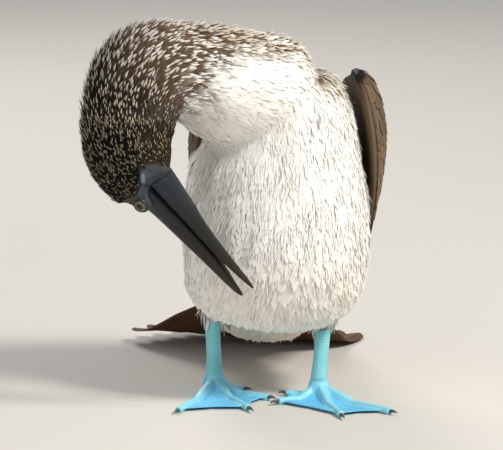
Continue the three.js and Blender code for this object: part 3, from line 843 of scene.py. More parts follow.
def leg_form():
    form = merged_nodes(FOOT_NODES, FOOT_GROWTH)
    for leg in LEGS.values():
        x, y, _ = (np.array(leg["top"]) + ORIGIN_SHIFT) * MM
        made = bmesh.ops.create_cone(
            form, cap_ends=True, segments=PEG_SEGMENTS, radius1=PEG_RADIUS,
            radius2=PEG_RADIUS, depth=PEG_HIGH - PEG_LOW,
        )
        spot = Vector((x, y, (PEG_LOW + PEG_HIGH) / 2))
        bmesh.ops.translate(form, verts=made["verts"], vec=spot)
    return form


feet = remeshed(leg_form(), "feet", FOOT_VOXEL, FOOT_SMOOTHING)
flat = corners_of(feet.data)
flat[:, 2] = np.maximum(flat[:, 2], 0.0)
move_corners(feet.data, flat)
print("feet", len(feet.data.polygons), "quads")

BODY_TREE = tree_of(body.data)
with_modifier(body, "BOOLEAN", operation="UNION", solver="EXACT", object=feet)
bpy.data.objects.remove(feet)
refine_face(body.data)
smooth_shade(body.data)
print("one skin", len(body.data.vertices), "corners")

# %% [markdown]
# Lids: the skin round each eye is raised onto a dome just outside the ball, thickest at the rim
# of a nearly round opening, and runs down to the cheek round it. Skin that lies within the
# opening goes inside the ball, so the rim sits tight on the wet surface.

# %% Lids
OPENING_ALONG = math.radians(50)
OPENING_ACROSS = math.radians(38)
LID_WIDTH = math.radians(32)
LID_CLEARANCE = 0.3 * MM
LID_RIM = 0.6 * MM
HIDDEN_DEPTH = 1.3 * MM
LID_FOOT = 15 * MM
RIM_PLACE = 0.18
RIM_WIDTH = 0.15
LID_SPREAD = 0.5 * MM


def shape_lids(mesh, side):
    points = corners_of(mesh)
    centre, *_ = eye_place(side)
    reach, turn, height = round_eye(points, side)
    distance = np.hypot(reach, height)
    opening = 1 / np.hypot(np.cos(turn) / OPENING_ALONG, np.sin(turn) / OPENING_ACROSS)
    way = (np.arctan2(reach, height) - opening) / LID_WIDTH
    rim = LID_RIM * hump(way, RIM_PLACE, RIM_WIDTH)
    shell = EYEBALL_RADIUS + LID_CLEARANCE + rim + LID_SPREAD * smooth(way, 0.4, 1.2)
    shell = np.where(way < 0, EYEBALL_RADIUS - HIDDEN_DEPTH, shell)
    strength = smooth(way, 1.6, 0.8) * (distance < LID_FOOT)
    radius = mix(distance, shell, strength)
    radius = np.where(way < 0, radius, np.maximum(radius, EYEBALL_RADIUS + LID_CLEARANCE))
    moved = centre + (points - centre) * (radius / distance)[:, None]
    move_corners(mesh, np.where((distance < LID_FOOT)[:, None], moved, points))


# %% [markdown]
# Beneath the feather line the bill grows out of the face. Skin that lies ahead of the bill's root
# is sunk a little into the horn, and the skin just behind is relaxed so that it meets the horn
# without a step.


# %% Seat the bill
SEAT_REACH = 3.0 * MM
SEAT_DEPTH = 0.5 * MM
ROOT_HALF_HEIGHT = 24


def ahead_of_root(points):
    """How far each point is ahead of the bill's root, and its height, in millimetres."""
    forward, crown, _ = in_head_frame(points)
    return forward - np.interp(crown, *BILL_ROOT.T), crown


def seat_bill(mesh, horn):
    tree = tree_of(horn.data)
    points = corners_of(mesh)
    ahead, crown = ahead_of_root(points)
    for index in np.nonzero((ahead > -1.0) & (np.abs(crown) < ROOT_HALF_HEIGHT))[0]:
        nearest, normal, _, gap = tree.find_nearest(Vector(points[index]))
        if gap < SEAT_REACH:
            points[index] = nearest - normal * SEAT_DEPTH
    move_corners(mesh, points)


for horn in (HORN_UPPER, HORN_LOWER):
    seat_bill(body.data, horn)
print("bill seated")

# %% [markdown]
# Sinking the skin leaves small steps. Each corner near them is moved towards the middle of its
# neighbours, again and again, as skin would stretch smoothly between two edges.


# %% Relax the skin
STRIP_HALF_HEIGHT = 26
SOCKET_RINGS = (5 * MM, 8 * MM, 17 * MM, 13 * MM)


def relaxed(mesh, weights, turns):
    """Moves each corner part of the way to the middle of its neighbours, again and again."""
    ends = np.empty(len(mesh.edges) * 2, np.int32)
    mesh.edges.foreach_get("vertices", ends)
    first, second = ends.reshape(-1, 2).T
    near = (weights[first] > 0) | (weights[second] > 0)
    first, second = first[near], second[near]
    points = corners_of(mesh)
    count = np.maximum(np.bincount(np.concatenate([first, second]), minlength=len(points)), 1)
    for _ in range(turns):
        total = np.zeros_like(points)
        np.add.at(total, first, points[second])
        np.add.at(total, second, points[first])
        points = mix(points, total / count[:, None], 0.5 * weights[:, None])
    move_corners(mesh, points)


def behind_horn(points):
    """1 on the strip of skin just behind the root of the bill."""
    ahead, crown = ahead_of_root(points)
    strip = smooth(ahead, -9, -5) * smooth(ahead, 0.4, -0.4)
    return strip * (np.abs(crown) < STRIP_HALF_HEIGHT) * on_head(points)


def round_sockets(points):
    """1 on the foot of the swelling round each eye."""
    foot = np.zeros(len(points))
    for side in (1, -1):
        reach, _, height = round_eye(points, side)
        ring = smooth(reach, *SOCKET_RINGS[:2]) * smooth(reach, *SOCKET_RINGS[2:])
        foot = np.maximum(foot, ring * (height > EYE_FLOOR))
    return foot


for strip, turns in ((behind_horn, 60), (round_sockets, 40)):
    relaxed(body.data, strip(corners_of(body.data)), turns)
for side in (1, -1):
    shape_lids(body.data, side)
CORNERS = corners_of(body.data)
NORMALS = normals_of(body.data)
FIELDS = skin_fields(CORNERS, NORMALS)
BARE_FACE = bareness(CORNERS)
BARE_LEG = leg_bareness(CORNERS)
FIELDS["bare"] = np.maximum(BARE_FACE, BARE_LEG)
print("bare corners", int((FIELDS["bare"] > 0.5).sum()))

# %% [markdown]
# The skin is unwrapped by its own shape. Each tuft is later given a small patch of this map at
# its root's place, so that its colours can be baked.

# %% Unwrap the skin
UV_NAME = "OFBake"
SKIN_MAP = "skin_map"
FOLD_ANGLE = math.radians(66)
ISLAND_GAP = 0.004


def unwrap(piece, name):
    bpy.ops.object.select_all(action="DESELECT")
    piece.select_set(True)
    bpy.context.view_layer.objects.active = piece
    bpy.ops.object.mode_set(mode="EDIT")
    bpy.ops.mesh.select_all(action="SELECT")
    bpy.ops.uv.smart_project(angle_limit=FOLD_ANGLE, island_margin=ISLAND_GAP)
    bpy.ops.object.mode_set(mode="OBJECT")
    piece.data.uv_layers.active.name = name


unwrap(body, SKIN_MAP)


class SkinSurface:
    """The skin's triangles as arrays, from which roots for feathers are drawn."""

    def __init__(self, mesh, fields):
        mesh.calc_loop_triangles()
        count = len(mesh.loop_triangles)
        corner = np.empty(count * 3, np.int32)
        loop = np.empty(count * 3, np.int32)
        mesh.loop_triangles.foreach_get("vertices", corner)
        mesh.loop_triangles.foreach_get("loops", loop)
        places = np.empty(len(mesh.loops) * 2, np.float32)
        mesh.uv_layers[SKIN_MAP].data.foreach_get("uv", places)
        self.corner = corner.reshape(-1, 3)
        self.map = places.reshape(-1, 2)[loop.reshape(-1, 3)]
        self.points = corners_of(mesh)
        self.normals = normals_of(mesh)
        self.fields = fields
        a, b, c = (self.points[self.corner[:, k]] for k in range(3))
        self.area = np.linalg.norm(np.cross(b - a, c - a), axis=1) / 2
        self.mean_fields = {key: values[self.corner].mean(axis=1) for key, values in fields.items()}

    def at(self, values, triangle, weights):
        return np.einsum("nk,nk...->n...", weights, values[self.corner[triangle]])


SKIN = SkinSurface(body.data, FIELDS)
print("skin area", SKIN.area.sum().round(4), "m2, triangles", len(SKIN.area))

# %% [markdown]
# Roots are scattered so that no two stand closer than the spacing, as follicles do. Candidates
# are drawn by area and kept one by one when their cell's neighbourhood is free. Roots that fall
# inside a folded wing or the tail are left out.


# %% Scatter roots
CANDIDATES = 3.6
COVER_REACH = 12 * MM
COVER_MARGIN = 0.5 * MM
COVERING_TREES = [tree_of(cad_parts[name].data) for name in ("wing_left", "wing_right", "tail")]


def spaced(points, spacing):
    """Which of the points to keep, in order, so that none is nearer to another than spacing."""
    cells = {}
    keys = np.floor(points / spacing).astype(int)
    kept = []
    near = [(i, j, k) for i in (-1, 0, 1) for j in (-1, 0, 1) for k in (-1, 0, 1)]
    places = [tuple(p) for p in points.tolist()]
    limit = spacing * spacing
    for index, (u, v, w) in enumerate(keys.tolist()):
        x, y, z = places[index]
        free = True
        for i, j, k in near:
            for a, b, c in cells.get((u + i, v + j, w + k), ()):
                if (a - x) ** 2 + (b - y) ** 2 + (c - z) ** 2 < limit:
                    free = False
                    break
            if not free:
                break
        if free:
            cells.setdefault((u, v, w), []).append(places[index])
            kept.append(index)
    return np.array(kept, int)


def inside_any(points, trees, margin):
    """Which points lie inside one of the closed forms, or less than margin outside it."""
    inside = np.zeros(len(points), bool)
    for index, point in enumerate(map(Vector, points.tolist())):
        for tree in trees:
            nearest, normal, _, gap = tree.find_nearest(point)
            behind = (point - nearest).dot(normal) < 0 and gap < COVER_REACH
            inside[index] |= behind or gap < margin
    return inside


def kept_roots(roots, keep):
    return {key: values[keep] for key, values in roots.items()}


def scatter(where, spacing, seed):
    """Roots on the part of the skin that where(fields of the triangles) allows."""
    rng = np.random.default_rng(seed)
    weight = SKIN.area * where(SKIN.mean_fields) * (SKIN.mean_fields["bare"] < 0.3)
    count = int(weight.sum() / spacing**2 * CANDIDATES)
    triangle = rng.choice(len(weight), size=count, p=weight / weight.sum())
    a, b = rng.random(count), rng.random(count)
    fold = a + b > 1
    a[fold], b[fold] = 1 - a[fold], 1 - b[fold]
    weights = np.stack([1 - a - b, a, b], axis=1)
    points = SKIN.at(SKIN.points, triangle, weights)
    kept = spaced(points, spacing)
    triangle, weights = triangle[kept], weights[kept]
    roots = {key: SKIN.at(values, triangle, weights) for key, values in SKIN.fields.items()}
    roots["point"] = points[kept]
    roots["normal"] = unit(SKIN.at(SKIN.normals, triangle, weights))
    roots["map"] = np.einsum("nk,nkj->nj", weights, SKIN.map[triangle])
    roots["lie"] = along_skin(roots["lie"], roots["normal"])
    return kept_roots(roots, ~inside_any(roots["point"], COVERING_TREES, COVER_MARGIN))


# %% [markdown]
# One builder makes every small feather of the coat. A feather is a narrow vane of quads: it
# leaves the skin at a low angle, bends back along the body and ends in a point or a blunt tip.
# Each corner gets a colour, pale at the tip where the plumage is streaked. Towards the root each
# vane is painted darker, as shade that the vanes above it would cast.
# Its shading normals lean towards those of the skin, which makes a coat look soft.

# %% Feather builder
TUFT_PATCH = 0.003
MOST_TRIANGLES = 190_000


def store_mesh(name, points, faces, colours, places, leaning=None, softness=0.0):
    mesh = bpy.data.meshes.new(name)
    mesh.vertices.add(len(points))
    mesh.vertices.foreach_set("co", points.astype(np.float32).ravel())
    mesh.loops.add(faces.size)
    mesh.loops.foreach_set("vertex_index", faces.astype(np.int32).ravel())
    mesh.polygons.add(len(faces))
    mesh.polygons.foreach_set("loop_start", np.arange(len(faces), dtype=np.int32) * faces.shape[1])
    mesh.update(calc_edges=True)
    mesh.validate()
    store_colour(mesh, colours)
    layer = mesh.uv_layers.new(name=UV_NAME)
    layer.data.foreach_set("uv", places[faces.ravel()].astype(np.float32).ravel())
    smooth_shade(mesh)
    if leaning is not None:
        soft = unit(mix(normals_of(mesh), leaning, softness))
        mesh.normals_split_custom_set_from_vertices(soft.tolist())
    return link(mesh, name)


def grid_faces(rows, columns):
    """Quads of a grid of points, wound so that they face the side the vane's normal points to."""
    row, column = np.meshgrid(np.arange(rows - 1), np.arange(columns - 1), indexing="ij")
    a = (row * columns + column).ravel()
    return np.stack([a, a + columns, a + columns + 1, a + 1], axis=1)


# %% [markdown]
# A set of feathers is kept as arrays, one row for each: where it grows, how long and wide it is,
# how far it lifts, bends and turns. Whole arrays are fast, so tens of thousands of vanes take
# seconds. Each set is cut into pieces that stay below the most triangles for one piece.


# %% Vanes
class Vanes:
    """Arrays for a set of feathers, one row each."""

    def __init__(self, roots, length, width, lift, bend, seed, rows=5, swing=0.1, columns=3):
        rng = np.random.default_rng(seed)
        count = len(roots["point"])
        self.roots = roots
        self.count = count
        self.rows = rows
        self.across = np.linspace(-1, 1, columns)
        self.length = length * rng.uniform(0.8, 1.2, count)
        self.width = width * rng.uniform(0.8, 1.2, count)
        self.lift = lift * rng.uniform(0.5, 1.5, count)
        self.bend = np.broadcast_to(bend, count)
        self.turn = rng.normal(0, swing, count)
        self.roll = rng.normal(0, 1.5 * swing, count)
        self.sideways = rng.normal(0, swing, count)
        self.rng = rng

    def outline(self, share):
        """Half width along a lance-shaped vane, as a share of the full one."""
        return np.sin(math.pi * np.clip(share, 0, 1) ** 0.75) ** 0.8 * 0.9 + 0.1 * (1 - share)

    def points(self):
        def wide(values):
            return values[:, None, None, None]

        normal, lie = self.roots["normal"], self.roots["lie"]
        side = np.cross(normal, lie)
        cos, sin = np.cos(self.turn)[:, None], np.sin(self.turn)[:, None]
        lie, side = lie * cos + side * sin, side * cos - lie * sin
        side = side * np.cos(self.roll)[:, None] + normal * np.sin(self.roll)[:, None]
        share = np.linspace(0, 1, self.rows)[None, :, None, None]
        across = self.across[None, None, :, None]
        length, lift = wide(self.length), wide(self.lift)
        half = 0.5 * wide(self.width) * self.outline(share)
        height = length * (lift * share - wide(self.bend) * share**2) - 0.25 * half * across**2
        drift = length * wide(self.sideways) * share**2
        spot = self.roots["point"][:, None, None, :]
        spot = spot + lie[:, None, None, :] * length * share * (1 - 0.1 * lift)
        spot = spot + normal[:, None, None, :] * height
        return spot + side[:, None, None, :] * (half * across + drift)

    def colours(self, dark, pale, start, soft, edge, painted_root_shade):
        share = np.linspace(0, 1, self.rows)[None, :, None]
        across = np.abs(self.across)[None, None, :]
        start = np.broadcast_to(start, self.count)[:, None, None]
        t = smooth(share, start, start + soft) * (1 - edge * across)
        # painted shade: each vane darkens towards its root, where the vanes above it would shade it
        shade = mix(painted_root_shade, 1.0, smooth(share, 0.0, 0.55))
        made = mix(dark[:, None, None, :], pale[:, None, None, :], t[..., None])
        return made * shade[..., None]

    def build(self, name, colours, material, slot, softness=0.6):
        """Meshes of the vanes, each below the most triangles that one piece may have."""
        points, rows, columns = self.points(), self.rows, len(self.across)
        share = np.linspace(-0.5, 0.5, rows)[None, :, None]
        local = np.stack(np.broadcast_arrays(self.across[None, None, :] / 2, share), axis=-1)
        places = self.roots["map"][:, None, None, :] + local * TUFT_PATCH
        leaning = np.broadcast_to(self.roots["normal"][:, None, None, :], points.shape)
        colours = np.broadcast_to(colours, points.shape)
        pattern = grid_faces(rows, columns)
        most = MOST_TRIANGLES // (2 * len(pattern))
        for number, start in enumerate(range(0, self.count, most)):
            part = slice(start, min(start + most, self.count))
            step = np.arange(part.stop - part.start)[:, None, None] * rows * columns
            piece = store_mesh(
                f"{name}_{number + 1}",
                points[part].reshape(-1, 3),
                (pattern[None] + step).reshape(-1, 4),
                colours[part].reshape(-1, 3),
                places[part].reshape(-1, 2),
                leaning[part].reshape(-1, 3),
                softness,
            )
            finish(piece, material, slot)
        print(name, self.count, "vanes,", self.count * len(pattern) * 2, "triangles")


# %% [markdown]
# Feathers on a live bird lie together in small clumps whose tips meet. Each root is drawn a
# little towards the tip of its clump.


# %% Clumps
def clumped(roots, spacing, reach, strength, seed):
    rng = np.random.default_rng(seed)
    order = rng.permutation(len(roots["point"]))
    centres = order[spaced(roots["point"][order], spacing)]
    tree = KDTree(len(centres))
    for i, c in enumerate(centres):
        tree.insert(Vector(roots["point"][c]), i)
    tree.balance()
    nearest = np.array([tree.find(Vector(p))[1] for p in roots["point"]])
    centre = centres[nearest]
    target = roots["point"][centre] + roots["lie"][centre] * reach
    aim = unit(target - roots["point"])
    roots["lie"] = along_skin(mix(roots["lie"], aim, strength), roots["normal"])
    roots["clump"] = rng.random(len(centres))[nearest]
    return roots


# %% [markdown]
# The markings. The head is near black with fine pale tips, the neck brown with buff streaks, and
# both fade into a white breast. The top of the neck and the shoulders are scaled with brown and
# tan, and the mantle is brown with pale edges. The same rule colours the skin and the feathers.

# %% Markings
BLACK_BROWN = linear(0x0C0907)
DARK_BROWN = linear(0x2B1F14)
STREAK_CREAM = linear(0xD9C9AC)
STREAK_WHITE = linear(0xFBF9F3)
THROAT_BROWN = linear(0x3E3122)
MANTLE_BROWN = linear(0x5A4029)
MANTLE_EDGE = linear(0xC9BBA4)
SCALE_BROWN = linear(0x6E543B)
SCALE_TAN = linear(0xC4AE8C)
NAPE_BROWN = linear(0x64503F)
BREAST_WHITE = linear(0xFFFDF8)
BREAST_CREAM_AND_SHADE = linear(0xE9DECF)
VENT_SHADE_COLOUR = linear(0xE2CFB4)
BACK_MIDDLE = 0.029
THROAT_WARMTH = 0.6
TAN_SHARE = 0.6
# where along the neck, in metres from the face, a change begins and where it is complete
HEAD_FADE = (0.075, 0.04)
THROAT_FADE = (0.16, 0.1)
NAPE_FADE = (0.075, 0.12)
TIP_FADE = (0.06, 0.14)
SCALE_FADE = (0.1, 0.14)
WHITE_START = 0.113
WHITE_FADE = 0.045
FLANK_DELAY = 0.016
BACK_DELAY = 0.005
# heights above the floor and places from front to back and aside, in metres, in the same way
BELLY_HEIGHTS = (0.17, 0.08)
SCALE_HEIGHTS = (0.22, 0.26)
MANTLE_HEIGHTS = (0.1, 0.13)
MANTLE_BEHIND = (-0.075, -0.045)
MANTLE_ASIDE = (0.062, 0.05)
RUMP_HEIGHTS = (0.075, 0.045)
RUMP_BEHIND = (-0.075, -0.03)


# %% [markdown]
# Each marking is a field between 0 and 1 that is worked out from a point's place, so the skin and
# every feather above it agree. Waves make the borders ragged, as borders of plumage are.


# %% Rules of the plumage
def whiteness(points, share, side, neckness):
    """0 where the neck is dark and 1 where the plumage is white."""
    ragged = waves(points, 0.018, 11) * 0.012 + waves(points, 0.05, 12) * 0.008
    start = WHITE_START + FLANK_DELAY * hump(side, 0.45, 0.3) + BACK_DELAY * smooth(side, 0.0, 0.9)
    on_neck = smooth(share + ragged, start, start + WHITE_FADE)
    return mix(1.0, on_neck, neckness)


def mantle(points, normals):
    """1 on the brown of the back, 0 elsewhere."""
    ragged = waves(points, 0.03, 21) * 0.12
    facing = smooth(normals[:, 1] + ragged, 0.05, 0.45)
    height = smooth(points[:, 2] + ragged * 0.1, *MANTLE_HEIGHTS)
    behind = smooth(points[:, 1], *MANTLE_BEHIND)
    between = smooth(np.abs(points[:, 0] - BACK_MIDDLE), *MANTLE_ASIDE)
    return facing * height * behind * between


# painted shade: a warm cream on the white feathers low under the body, at the vent and low rump
def painted_vent_shade(points):
    return smooth(points[:, 2], *RUMP_HEIGHTS) * smooth(points[:, 1], *RUMP_BEHIND)


def scales(points, normals, share):
    """1 on the scaled band along the top of the neck and the shoulders."""
    facing = smooth(0.5 * normals[:, 1] + 0.9 * normals[:, 2], 0.1, 0.45)
    scaled = facing * smooth(share, *SCALE_FADE)
    return scaled * smooth(points[:, 2], *SCALE_HEIGHTS) * smooth(waves(points, 0.012, 41), -1.1, 0.0)


def plumage(points, normals, share, side, neckness):
    """Ground colour and tip colour of the plumage at each point."""
    throat = smooth(-side, 0.0, 0.6) * smooth(share, *THROAT_FADE)
    blackness = np.clip(smooth(share, *HEAD_FADE) + 0.35 * (1 - throat), 0, 1)
    dark = mix(DARK_BROWN, BLACK_BROWN, blackness[:, None])
    dark = mix(dark, THROAT_BROWN, THROAT_WARMTH * throat[:, None])
    dark = mix(dark, NAPE_BROWN, smooth(share, *NAPE_FADE)[:, None])
    pale = mix(STREAK_CREAM, STREAK_WHITE, smooth(share, *TIP_FADE)[:, None])
    white = whiteness(points, share, side, neckness)[:, None]
    # the white is creamier in random patches, and low on the belly the ground and the tips are painted
    # darker, as shade under the body
    warm = smooth(waves(points, 0.035, 31), 0.0, 1.0)[:, None]
    low = smooth(points[:, 2], *BELLY_HEIGHTS)[:, None]
    ground = mix(BREAST_CREAM_AND_SHADE, BREAST_WHITE, 0.85 - 0.3 * warm - 0.45 * low)
    # painted shade at the vent, low under the body
    shade_at_vent = painted_vent_shade(points)[:, None]
    dark = mix(dark, mix(ground, VENT_SHADE_COLOUR, 0.8 * shade_at_vent), white)
    pale = mix(pale, mix(mix(BREAST_WHITE, BREAST_CREAM_AND_SHADE, 0.5 * low), VENT_SHADE_COLOUR, 0.5 * shade_at_vent), white)
    scaled = scales(points, normals, share)[:, None]
    dark = mix(dark, SCALE_BROWN, scaled)
    pale = mix(pale, SCALE_TAN, TAN_SHARE * scaled)
    brown = mantle(points, normals)[:, None]
    return mix(dark, MANTLE_BROWN, brown), mix(pale, MANTLE_EDGE, brown)


def root_markings(roots):
    names = ("point", "normal", "share", "side", "neckness")
    return plumage(*(roots[name] for name in names))


def root_whiteness(roots):
    return whiteness(roots["point"], roots["share"], roots["side"], roots["neckness"])


# %% [markdown]
# Three finishes serve the whole plumage: a dark one for head, neck and back, a white one with a
# soft sheen, and a smoother one for the long wing and tail feathers. Each takes its colour from
# the vanes and adds fine barbs.


# %% Coat materials
def coat_material(name, roughness, sheen, barb_scale):
    recipe = Recipe(name, roughness=roughness, sheen=sheen, specular=0.12)
    grain = recipe.mottle(barb_scale, detail=3.0)
    recipe.colour(recipe.shaded(recipe.tint(), grain, low=0.84, high=1.12))
    recipe.bump(grain, strength=0.25, distance=0.0003)
    return recipe.material


DARK_COAT = coat_material("dark_coat", roughness=0.75, sheen=0.0, barb_scale=900.0)
WHITE_COAT = coat_material("white_coat", roughness=0.85, sheen=0.2, barb_scale=700.0)
FLIGHT_COAT = coat_material("flight_coat", roughness=0.5, sheen=0.0, barb_scale=1200.0)


# %% [markdown]
# The first coat piece is the head and the fine feathering of the face: tiny near-black vanes,
# most of them with a pale point. Down the neck the vanes grow into slender, evenly combed
# streaks, each pale along its middle and dark along its edges.

# %% Head and neck feathers
HEAD_SPACING = 1.25 * MM
NECK_SPACING = 2.3 * MM
UNTIPPED = 1.4
# the head's feathers end and the neck's begin at these distances from the face, in metres
HEAD_END = 0.062
NECK_START = 0.052


def head_zone(fields):
    return (fields["neckness"] > 0.5) * (fields["share"] < HEAD_END)


def neck_zone(fields):
    return (fields["neckness"] > 0.12) * (fields["share"] >= NECK_START)


def build_head_coat():
    roots = scatter(head_zone, HEAD_SPACING, seed=101)
    grown = smooth(roots["share"], 0.0, 0.055)
    length, width = mix(3.2, 7.0, grown) * MM, mix(1.3, 2.0, grown) * MM
    vanes = Vanes(roots, length, width, mix(0.22, 0.3, grown), bend=0.14, seed=102, swing=0.12)
    dark, pale = root_markings(roots)
    dotted = vanes.rng.random(vanes.count) < mix(0.42, 0.6, grown)
    start = np.where(dotted, 0.6, UNTIPPED)
    colours = vanes.colours(dark, pale, start, soft=0.3, edge=0.85, painted_root_shade=0.5)
    vanes.build("head_coat", colours, DARK_COAT, "dark_plumage")


def build_neck_coat():
    roots = scatter(neck_zone, NECK_SPACING, seed=111)
    roots = clumped(roots, spacing=6 * MM, reach=14 * MM, strength=0.2, seed=112)
    rng = np.random.default_rng(114)
    white = root_whiteness(roots)
    white = smooth(white, rng.random(len(white)) * 0.8, 1.0)
    grown = smooth(roots["share"], 0.05, 0.13)
    width = mix(mix(2.0, 3.0, grown), 3.6, white) * MM
    length = mix(mix(8.0, 12.0, grown), 13.5, white) * MM
    throat = smooth(-roots["side"], 0.1, 0.7) * smooth(roots["share"], 0.15, 0.1)
    lift = mix(0.2, 0.4, smooth(roots["side"], 0.5, 0.9)) * mix(1.0, 0.7, white)
    slim = mix(1, 0.6, throat)
    vanes = Vanes(roots, length * slim, width * slim, lift, bend=0.12, seed=113, rows=6, swing=0.07)
    dark, pale = root_markings(roots)
    streaked = vanes.rng.random(vanes.count) < mix(0.72, 1.0, white)
    start = np.where(streaked, vanes.rng.uniform(0.35, 0.6, vanes.count), UNTIPPED)
    painted_root_shade = mix(0.5, 0.9, white)[:, None, None]
    edge = mix(0.9, 0.5, smooth(roots["share"], 0.08, 0.14))[:, None, None]
    colours = vanes.colours(dark, pale, start, soft=0.2, edge=edge, painted_root_shade=painted_root_shade)
    vanes.build("neck_coat", colours, DARK_COAT, "pale_neck_plumage")


build_head_coat()
build_neck_coat()

# %% [markdown]
# The body's coat is soft and white, in two layers: broad vanes that close the surface, and over
# them fine locks whose tips meet in loose clumps. The mantle behind is laid in larger brown
# feathers with pale edges.

# %% Body feathers
UNDER_SPACING = 3.0 * MM
VEIL_SPACING = 1.15 * MM
MANTLE_SPACING = 5.0 * MM
CUFF_TOP = 80 * MM
ANKLE_HEIGHT = 17
CUFF_REACH = (17 * MM, 10 * MM)
CUFF_LIFT = 0.8


def body_zone(fields):
    return fields["neckness"] <= 0.5


def veil_zone(fields):
    return fields["neckness"] <= 0.85


def on_mantle(roots):
    return mantle(roots["point"], roots["normal"])


def cuffed(roots, lift):
    """Turns the feathers near a leg down along it, as a cuff round its top."""
    for leg in LEGS.values():
        top, ankle = np.array(leg["top"]), np.array(leg["ankle"])
        share = (roots["point"][:, 2:] / MM - ANKLE_HEIGHT) / (top[2] - ANKLE_HEIGHT)
        axis = (mix(ankle, top[:2], share) + ORIGIN_SHIFT[:2]) * MM
        away = roots["point"].copy()
        away[:, :2] -= axis
        away[:, 2] = 0
        near = smooth(np.linalg.norm(away, axis=1), *CUFF_REACH) * (roots["point"][:, 2] < CUFF_TOP)
        lie = along_skin(unit(-0.25 * unit(away) + [0, 0, -1.0]), roots["normal"])
        roots["lie"] = along_skin(mix(roots["lie"], lie, near[:, None]), roots["normal"])
        lift = mix(lift, CUFF_LIFT, near)
    return lift


def build_under_coat():
    roots = scatter(body_zone, UNDER_SPACING, seed=201)
    roots = kept_roots(roots, on_mantle(roots) < 0.7)
    roots = clumped(roots, spacing=10 * MM, reach=20 * MM, strength=0.3, seed=202)
    lift = cuffed(roots, 0.17)
    vanes = Vanes(roots, length=14 * MM, width=7.0 * MM, lift=lift, bend=0.1, seed=204, rows=6)
    dark, pale = root_markings(roots)
    colours = vanes.colours(dark, pale, start=0.1, soft=0.6, edge=0.1, painted_root_shade=0.92)
    vanes.build("body_coat", colours, WHITE_COAT, "white_plumage", softness=0.9)


def build_veil():
    roots = scatter(veil_zone, VEIL_SPACING, seed=211)
    keep = (on_mantle(roots) < 0.4) & (root_whiteness(roots) > 0.8)
    roots = kept_roots(roots, keep)
    roots = clumped(roots, spacing=12 * MM, reach=22 * MM, strength=0.5, seed=212)
    points = roots["point"]
    shag = 0.5 + 0.5 * waves(points, 0.022, 203)
    breast = smooth(points[:, 2], 0.10, 0.15)
    lift = cuffed(roots, mix(0.2, 0.27, shag * breast) + 0.14 * (roots["clump"] - 0.5))
    length = mix(9, 13, shag) * MM
    vanes = Vanes(roots, length, width=1.35 * MM, lift=lift, bend=0.1, seed=214, rows=4)
    dark, pale = root_markings(roots)
    colours = vanes.colours(dark, pale, start=0.1, soft=0.6, edge=0.0, painted_root_shade=0.93)
    vanes.build("veil_coat", colours, WHITE_COAT, "white_plumage", softness=0.85)


def build_mantle():
    roots = scatter(body_zone, MANTLE_SPACING, seed=221)
    roots = kept_roots(roots, on_mantle(roots) > 0.35)
    shape = {"length": 22 * MM, "width": 10 * MM, "lift": 0.2, "bend": 0.1}
    vanes = Vanes(roots, seed=224, rows=7, columns=5, **shape)
    vanes.outline = lambda share: np.sin(math.pi * np.clip(share * 0.97, 0, 1) ** 1.5) ** 0.5
    dark, pale = root_markings(roots)
    colours = vanes.colours(dark, pale, start=0.78, soft=0.2, edge=-0.2, painted_root_shade=0.6)
    vanes.build("mantle_coat", colours, FLIGHT_COAT, "brown_wing")


build_under_coat()
build_veil()
build_mantle()

# %% [markdown]
# Wing and tail feathers are long stiff vanes with a raised shaft. Each is closed: an upper face,
# a lower face and a rim. `closed_vanes` joins a list of them, given as grids of points, and puts
# each on a patch of its own on the map.

# %% Closed vanes
VANE_ACROSS = np.array([[-1, -0.75, -0.4, -0.06, 0, 0.06, 0.4, 0.75, 1]])
ATLAS_COLUMNS = 24
UNDERSIDE_SHADE = 0.8
TIP_PALE = 0.3


def closed_vanes(name, feathers, slot, *nodes):
    """One piece from (upper points, lower points, colours), each an array rows x columns x 3."""
    points, faces, colours, places = [], [], [], []
    base = 0
    for number, (upper, lower, tone) in enumerate(feathers):
        rows, columns = upper.shape[:2]
        size = rows * columns
        top = grid_faces(rows, columns)
        rim = np.concatenate([
            np.arange(columns), np.arange(2 * columns - 1, size, columns),
            np.arange(size - 2, size - columns - 1, -1), np.arange(size - 2 * columns, 0, -columns),
        ])
        after = np.roll(rim, -1)
        sides = np.stack([rim, after, after + size, rim + size], axis=1)
        faces.append(np.concatenate([top, top[:, ::-1] + size, sides]) + base)
        points += [upper.reshape(-1, 3), lower.reshape(-1, 3)]
        colours += [tone.reshape(-1, 3), tone.reshape(-1, 3) * UNDERSIDE_SHADE]
        row, column = np.meshgrid(np.linspace(0, 1, rows), np.linspace(0, 1, columns), indexing="ij")
        local = np.stack([column * 0.4, row * 0.9], axis=-1).reshape(-1, 2)
        corner = np.array([number % ATLAS_COLUMNS, number // ATLAS_COLUMNS])
        places += [(corner + local) / ATLAS_COLUMNS, (corner + local + [0.5, 0]) / ATLAS_COLUMNS]
        base += 2 * size
    piece = store_mesh(name, *(np.concatenate(a) for a in (points, faces, colours, places)))
    turned_out(piece.data)
    finish(piece, FLIGHT_COAT, slot, *nodes)
    print(name, len(feathers), "feathers,", 2 * len(piece.data.polygons), "triangles")


def vane_tone(along, across, ground, edge, shaft):
    """Colours over a vane: ground, a paler margin and tip, and the line of the shaft."""
    margin = np.clip(smooth(np.abs(across), 0.76, 1.0) + TIP_PALE * smooth(along, 0.85, 1.0), 0, 1)
    tone = mix(ground, edge, (0.8 * margin + 0 * along)[..., None])
    return mix(tone, shaft, (0.6 * smooth(np.abs(across), 0.06, 0.0) + 0 * along)[..., None])


# %% [markdown]
# The folded wing is a shallow shell: a dark core with the feathers laid on it like tiles. Small
# coverts cover the wrist, larger ones follow, then the long secondaries and tertials, and the
# pointed primaries make the tip. Every feather starts at the core and rises to the shell.

